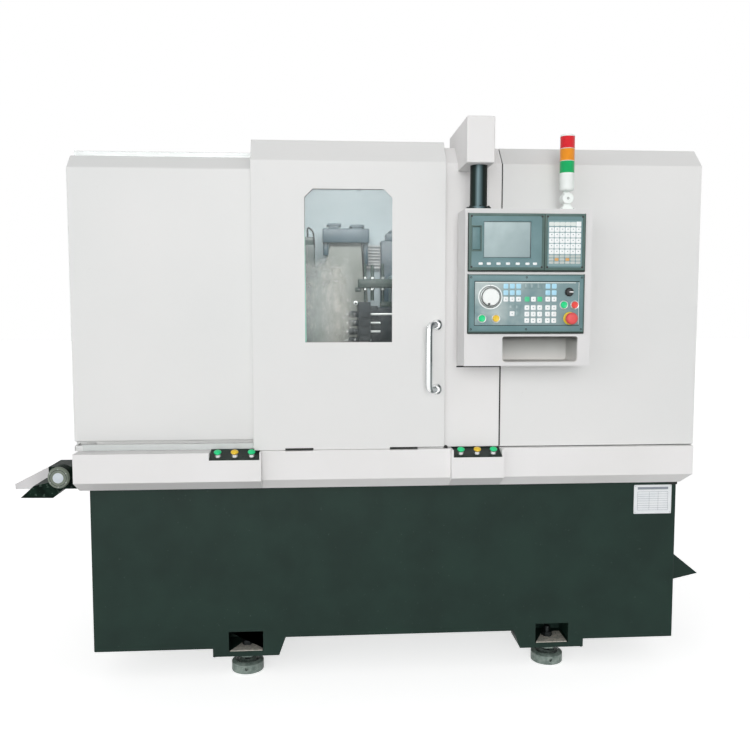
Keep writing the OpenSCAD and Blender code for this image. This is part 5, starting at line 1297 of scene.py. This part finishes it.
pipeLow, pipeHigh = boxOf("coolant_manifold")
back = pipeHigh.y
shape = Shape()
shape.slab((pipeLow.x, back - 40, 1419), (pipeHigh.x, back, 1454), 2.0)
for x, low, high, size in ((-73, 1363, 1532, 5.0), (-45, 1370, 1510, 7.0), (-4, 1352, 1521, 6.0),
                           (70, 1360, 1514, 6.0)):
    tall = min(high, pipeHigh.z) - low
    stub = [(0, 0), (size, 0), (size, tall), (size - 1.5, tall), (0, tall)]
    shape.turned((x, back - 20, low), upward, stub, 20)
    for z in (1411, 1454):
        nut = [(0, 0), (size + 3.5, 0), (size + 3.5, 8), (size + 1, 9), (0, 9)]
        shape.turned((x, back - 20, z), upward, nut, 6, 1)
shape.slab((-14, back - 34, 1345), (30, back - 6, 1366), 2.0)
shape.slab((-112, back - 36, 1404), (-88, back - 8, 1422), 2.0)
shape.finish("coolantManifold", [pipeGreen, turnedSteel], "x_slide", "manifold_green", ["coolant_manifold"])
print("machine interior is fitted")

# working light behind the front sheet: a sealed tube and the light that it gives
shape = Shape()
shape.slab((-420, 64, 1848), (160, 104, 1860), 2.0)
shape.turned((-400, 84, 1841), toRight, [(0, 0), (9, 0), (10, 2), (10, 534), (9, 536), (0, 536)], 24, 1)
shape.finish("workLight", [greyCoat, whitePlastic], "machine", "light_grey_paint")
cabin = addLamp("cabinLamp", "AREA", (0, -0.75, 1), 3.8, shape="RECTANGLE", size=0.5, size_y=0.12)
cabin.location = at(-140, 84, 1828)


# ---- chip conveyor end, gear motor, parts tray
motorLow, motorHigh = boxOf("gear_motor")
x, front, z = (motorLow.x + motorHigh.x) / 2, motorLow.y, (motorLow.z + motorHigh.z) / 2
motor = {"fins": 9, "finPitch": 5.2, "radius": 38.5, "groove": 35.6, "screws": 6, "screwRing": 31.6}
labelWhite = mouldedPlastic("vinylRoundelBlank", "#d3dadf", "#c3cdd6", rough=0.35, wearMm=10)
wetGreen = paintedSteel(
    "enamelledSheetOilWetGreen", "#0b1712", "#1b2e25", "#7d9488", driftMm=34, specks=(13, 0.61, 0.22),
    peel=(9, 0.5), rough=0.42, shine=0.03)
radius, groove = motor["radius"], motor["groove"]
flange = [(0, 0), (34.0, 0), (34.6, 0.8), (34.6, 4), (36.5, 5), (radius, 8), (radius, 11), (0, 11)]
fins = [(0, 10)]
for k in range(motor["fins"]):
    y = 10 + k * motor["finPitch"]
    fins += [(radius, y), (radius, y + 2.4), (groove, y + 2.9), (groove, y + 4.7)]
fins += [(radius, 58.0), (radius, 60.0), (0, 60.0)]
label = [(0, 0), (18.5, 0), (18.5, 0.6), (18.0, 0.9), (0, 0.9)]
shape = Shape()
shape.turned((x, front, z), outBack, flange, 64)
shape.turned((x, front, z), outBack, fins, 64, 3)
shape.turned((x, front + 0.3, z), toUser, label, 48, 1)
shape.turned((x, front + 0.4, z), toUser, [(27.5, 0), (29.5, 0), (29.2, 1.0), (27.8, 1.0)], 56, 2)
finishes = [motorCoat, labelWhite, blackSteel, wetGreen]
shape.finish("gearMotor", finishes, "machine", "motor_paint", ["gear_motor"])
spots = [((a, front + 0.2, b), toUser) for a, b in circle(x, z, motor["screwRing"], motor["screws"], 0.5)]
screws("motorScrews", spots, 2.2, 1.4, zincSteel)
foldedCopy("chipConveyor", "conveyor_frame", wetGreen, "machine", "dark_green_paint", 2.5, 0.8)
# hinged slats of the belt, seen in the open mouth under the end
spots = [((-1300 + 15 * k, 130, min(704, 663 + max(0, 15 * k - 64))), upward) for k in range(12)]
bars("beltSlats", (14.5, 124, 2.4), bareSheet, spots, "machine")
spots = [((x, 60, z), toUser) for x, z in ((-1216, 763), (-1126, 763), (-1104, 763), (-1150, 696),
                                           (-1115, 696))]
screws("conveyorScrews", spots, 3.4, 2.4, blackSteel, "machine")
paleTray = paintedSteel(
    "stovedTraySheetPaleGrey", "#dcdadb", "#d0cfd0", "#aeb0ae", driftMm=130, specks=(10, 0.66, 0.3),
    peel=(4, 0.02), rough=0.45)
trayLow, trayHigh = boxOf("parts_tray")
tip, root, foot, near, far = trayLow.x, trayHigh.x, trayLow.z, trayLow.y, trayHigh.y
shape = Shape()
frontWall = [(tip, foot + 19), (tip + 3, foot), (tip + 70, foot), (root, foot + 64), (root, foot + 106),
             (tip + 164, foot + 103)]
rearWall = [(tip + 60, foot + 4), (tip + 60, foot), (tip + 70, foot), (root, foot + 64), (root, foot + 78)]
bottom = [(tip + 3, foot), (tip + 70, foot), (root, foot + 64), (root, foot + 66.4), (tip + 69, foot + 2.4),
          (tip + 3, foot + 2.4)]
shape.prism(frontWall, near, near + 2.4, 0.6, 1)
shape.prism(rearWall, far - 2.4, far, 0.6, 1)
shape.prism(bottom, near + 1, far - 1, 0.4, 1)
shape.slab((tip + 3, near, foot + 0.2), (tip + 5.6, far, foot + 5), 0.6)
shape.slab((root - 2.4, near, foot + 64), (root, far, foot + 78), 0.6)
shape.finish("partsTray", [paleTray], "machine", "bare_sheet", ["parts_tray"])
print("left end is fitted")


# ---- skirt, seams and the small fittings of the covers
seams = {"face": -58.0, "x": 385.5, "under": 1133.0, "left": 229, "right": 1096, "eaveDrop": 64.0}
front, x, under = seams["face"], seams["x"], seams["under"]
eave = boxOf("right_cover")[1].z - seams["eaveDrop"]
# dark strips in the seams between the covers and under the right cover: painted shadow of the gaps
shape = Shape()
for low, high in (((x - 2.2, front - 0.8, 850), (x + 2.6, front + 3, under + 4)),
                  ((x - 1.2, front - 0.6, under), (x + 1.8, front + 3, eave)),
                  ((seams["left"], front - 0.8, under - 1), (x + 2, front + 3, under + 4)),
                  ((x + 2, front + 1.5, 845.4), (seams["right"], front + 14, 851.4))):
    shape.slab(low, high, 0.3, 1)
shape.finish("coverSeamShadows", [seamShadow], "machine", "white_paint")
near = doorLow.y
shape = Shape()      # pale lip under the door
shape.slab((doorLow.x + 3, near + 0.8, 845.8), (doorHigh.x - 3, near + 12, 853), 0.3, 1)
shape.finish("doorSweep", [whiteCoat], "door", "white_paint")
shape = Shape()      # dark drain slots in the tray edge under it
for x in (doorLow.x + 110, doorLow.x + 477):
    shape.slab((x, near - 0.6, 845.3), (x + 98, near + 0.6, 851.6), 0.3, 1)
shape.slab((doorLow.x + 575, near - 0.4, 849.0), (doorHigh.x + 2, near + 0.6, 851.0), 0.3, 1)
shape.finish("traySlots", [seamShadow], "machine", "grey_white_paint")
shape = Shape()
shape.turned((doorHigh.x + 8, -60, 849), toUser, [(0, -4), (5.5, -4), (5.5, 11), (4.5, 13.5), (0, 13.5)], 24)
shape.finish("doorBumper", [rubber], "machine", "black_steel")
# the button plates slope: their screws stand square to them
tilt, along = Vector((0, -26, 68)).normalized(), Vector((0, 68, 26)).normalized()
platesLow, platesHigh = boxOf("button_plates")
spots = [((Vector((x + dx, -115, 819)) + along * v + tilt * 1.9)[:], tilt[:])
         for x in (platesLow.x, platesHigh.x - 172) for dx in (7, 165) for v in (9, 63)]
screws("buttonPlateScrews", spots, 2.8, 1.8, blackSteel, "machine")
for side in ("left", "right"):
    for number, finish, colour in ((1, greenPlastic, "green"), (2, yellowPlastic, "yellow"),
                                   (3, greenPlastic, "green")):
        node = f"{side}_button_{number}"
        foldedCopy(f"{side}Mushroom{number}", node, finish, node, colour + "_button", 0.6, 0.4)
print("skirt is fitted")


# ---- rear, roof and electrical cabinet
hatchLow, hatchHigh = boxOf("cabinet_door")
rear = 1166.0
spots = [((hatchLow.x + 225, hatchHigh.y - 6.0, hatchLow.z + z + 18 * k), outBack)
         for z in (90, 640) for k in range(8)]
bars("hatchLouvres", (260, 13, 5), greyCoat, spots, "cabinet_door", (0.5, 0, 0))
shape = Shape()      # bezels of the two hatch locks
for z in (hatchLow.z + 200, hatchHigh.z - 200):
    bezel = [(15, -0.4), (18, -0.4), (18, 1.2), (17, 2.2), (15, 2.2)]
    shape.turned((hatchLow.x + 24, hatchHigh.y - 10.4, z), outBack, bezel, 40)
shape.finish("lockBezels", [blackPlastic], "cabinet_door", "black_steel")
spots = [((x, rear + 19.8, z), outBack) for x in (hatchLow.x + 60, hatchHigh.x - 90)
         for z in (hatchLow.z + 30, hatchHigh.z - 30)]
screws("hatchScrews", spots, 4.0, 3.0, zincSteel, "cabinet_door")
# what stands behind the hatch: a zinc mounting plate with drives, contactors and trunking
wall = {"x0": 650.0, "x1": 1045.0, "z0": 930.0, "z1": 1745.0, "y": 1005.0, "drivePitch": 112}
x0, x1, z0, z1, y = (wall[side] for side in ("x0", "x1", "z0", "z1", "y"))
shape = Shape()
shape.slab((x0, y - 3, z0), (x1, y, z1), 0.6)
for z in (1150, 1300, 1640):
    shape.slab((x0 + 20, y, z), (x1 - 20, y + 8, z + 35), 0.6, slot=1)
for x in (x0 + 30, x1 - 30):
    for z in (z0 + 40, z1 - 40):
        shape.slab((x - 12, 760, z - 12), (x + 12, y - 3, z + 12), 1.0)
shape.finish("mountingPlate", [zincSteel, bareSheet], "machine", "zinc_steel")
shape = Shape()
for k in range(3):
    x = x0 + 28 + k * wall["drivePitch"]
    shape.slab((x, y, 1360), (x + 92, y + 118, 1600), 3.0)
    shape.slab((x + 8, y + 116, 1376), (x + 84, y + 121, 1430), 1.0, slot=1)
    shape.slab((x + 24, y + 116, 1520), (x + 68, y + 121, 1562), 1.0, slot=2)
shape.slab((x0 + 24, y, 945), (x0 + 190, y + 96, 1105), 3.0)
shape.slab((x0 + 214, y, 945), (x1 - 30, y + 82, 1100), 3.0, slot=2)
shape.finish("servoDrives", [blackPlastic, greyPlastic, panelCoat], "machine", "black_steel")
vents = [((x0 + 74 + k * wall["drivePitch"], y + 119.5, 1446 + n * 6.4),
          outBack) for k in range(3) for n in range(10)]
relays = [((x0 + 48 + k * 25, y + 32, z), outBack) for k in range(12) for z in (1167, 1317, 1657)]
levers = [((p[0], p[1] + 31, p[2] - 8), out) for p, out in relays]
ducts = [(((x0 + x1) / 2, y + 26, z), outBack) for z in (1122, 1228, 1345, 1615, 1722)]
for name, size, finish, spots, slotName in (
        ("driveVents", (66, 2.6, 3.2), greyPlastic, vents, "black_steel"),
        ("relayRow", (22.5, 72, 52), whitePlastic, relays, "white_paint"),
        ("relayLevers", (10, 12, 10), blackPlastic, levers, "black_steel"),
        ("wireTrunking", (370, 26, 52), cableGrey, ducts, "light_grey_paint")):
    bars(name, size, finish, spots, "machine")
shape = Shape()
for k in range(6):
    x = x0 + 70 + k * 46
    shape.pipe([(x, y + 46, 1236), (x, y + 74, 1262), (x, y + 60, 1300)], 3.2, 8, 10)
    shape.pipe([(x, y + 56, 1112), (x + 4, y + 84, 1092), (x + 2, y + 70, 1060)], 4.2, 8, 10)
shape.finish("cabinetWires", [rubber], "machine", "black_steel")

# gland with a plug low on the rear, and the screws of the rear, the roof, the arm and the box
shape = Shape()
gland = [(9, 0), (15.8, 0), (15.8, 4.2), (21, 4.4), (21, 12), (19.5, 13), (17.5, 13), (17.5, 20),
         (15.5, 23), (9, 24)]
shape.turned((432, rear - 4, 935), outBack, gland, 6)
shape.turned((432, rear - 20, 935), outBack, [(0, 0), (8.8, 0), (8.8, 42), (8.0, 43), (0, 43)], 28, 1)
shape.finish("cableGland", [blackPlastic, rubber], "machine", "black_steel")
armLow, armHigh = boxOf("overhead_arm")
spots = []
for x0, x1, count, z0, z1 in ((-1085, -470, 5, 880, 1840), (400, 590, 3, 1000, 1870)):
    for k in range(count):
        x = x0 + (x1 - x0) * k / (count - 1)
        spots += [((x, rear - 0.2, z), outBack) for z in (z0, z1)]
screws("rearScrews", spots, 5.0, 3.2, zincSteel)
spots = []
for cover, xs, ys in (("left_cover", (-1085, -880, -680, -490), (140, 640, 1130)),
                      ("right_cover", (420, 640, 860, 1080), (60, 600, 1130))):
    spots += [((x, y, boxOf(cover)[1].z - 0.2), upward) for x in xs for y in ys]
screws("roofScrews", spots, 5.0, 3.2, zincSteel)
spots = [((armHigh.x - 0.2, armLow.y + 40 + 60 * k, armHigh.z - 18), toRight) for k in range(5)]
screws("armScrews", spots, 3.6, 2.4, zincSteel)
spots = [((boxLow.x + 24 + (boxHigh.x - boxLow.x - 48) * k / 4, boxHigh.y - 0.2, z), outBack)
         for k in range(5) for z in (boxLow.z + 16, boxHigh.z - 16)]
screws("boxScrews", spots, 3.2, 2.2, blackSteel, "pendant")
spots = [(((boxLow.x + boxHigh.x) / 2, boxHigh.y + 0.1, boxHigh.z - 70 - 11 * k), outBack) for k in range(9)]
bars("boxVents", (120, 4, 1.2), blackPlastic, spots, "pendant")

# side walls: a lapped seam and its screws, louvres that cool the cabinet, a steel ring round the bar hole
sides = {"seamY": 630.0, "low": 878.0, "high": 1822.0, "louvres": 8, "louvrePitch": 20}
leftX, rightX, y = boxOf("left_cover")[0].x, boxOf("right_cover")[1].x, sides["seamY"]
axisLow, axisHigh = boxOf("spindle")
axisY, axisZ = (axisLow.y + axisHigh.y) / 2, (axisLow.z + axisHigh.z) / 2
shape, spots = Shape(), []
for face, out in ((rightX, 1), (leftX, -1)):
    near, far = sorted((face - 0.3 * out, face + 1.6 * out))
    shape.slab((near, y - 12, sides["low"]), (far, y + 12, sides["high"]), 0.5)
    spots += [((face + 1.5 * out, y, z), (out, 0, 0)) for z in (920, 1145, 1370, 1595, 1790)]
    spots += [((face - 0.2 * out, edge, z), (out, 0, 0)) for edge in (170, 1120) for z in (895, 1350, 1800)]
face = rightX
for z in (980, 1600):
    for k in range(sides["louvres"]):
        foot = z + sides["louvrePitch"] * k
        hood = [(face - 1, foot), (face + 6, foot), (face + 7, foot + 2), (face + 1, foot + 11),
                (face - 1, foot + 12)]
        shape.prism(hood, 760, 1040, 0.6, 1)
shape.finish("sideSeams", [whiteCoat], "machine", "white_paint")
screws("sideScrews", spots, 5.0, 3.2, zincSteel)
shape = Shape()
ring = [(26, 0), (46, 0), (46, 4.5), (44.5, 6), (27, 6), (26, 5)]
shape.turned((leftX + 0.6, axisY, axisZ), toLeft, ring, 56)
shape.finish("barHoleRing", [turnedSteel], "machine", "zinc_steel")
spots = [((leftX - 5.2, axisY + 36 * math.cos(a), axisZ + 36 * math.sin(a)), toLeft)
         for a in (0.8, 2.37, 3.94, 5.51)]
screws("ringScrews", spots, 3.4, 2.6, blackSteel, "machine")
print("rear and cabinet are fitted")
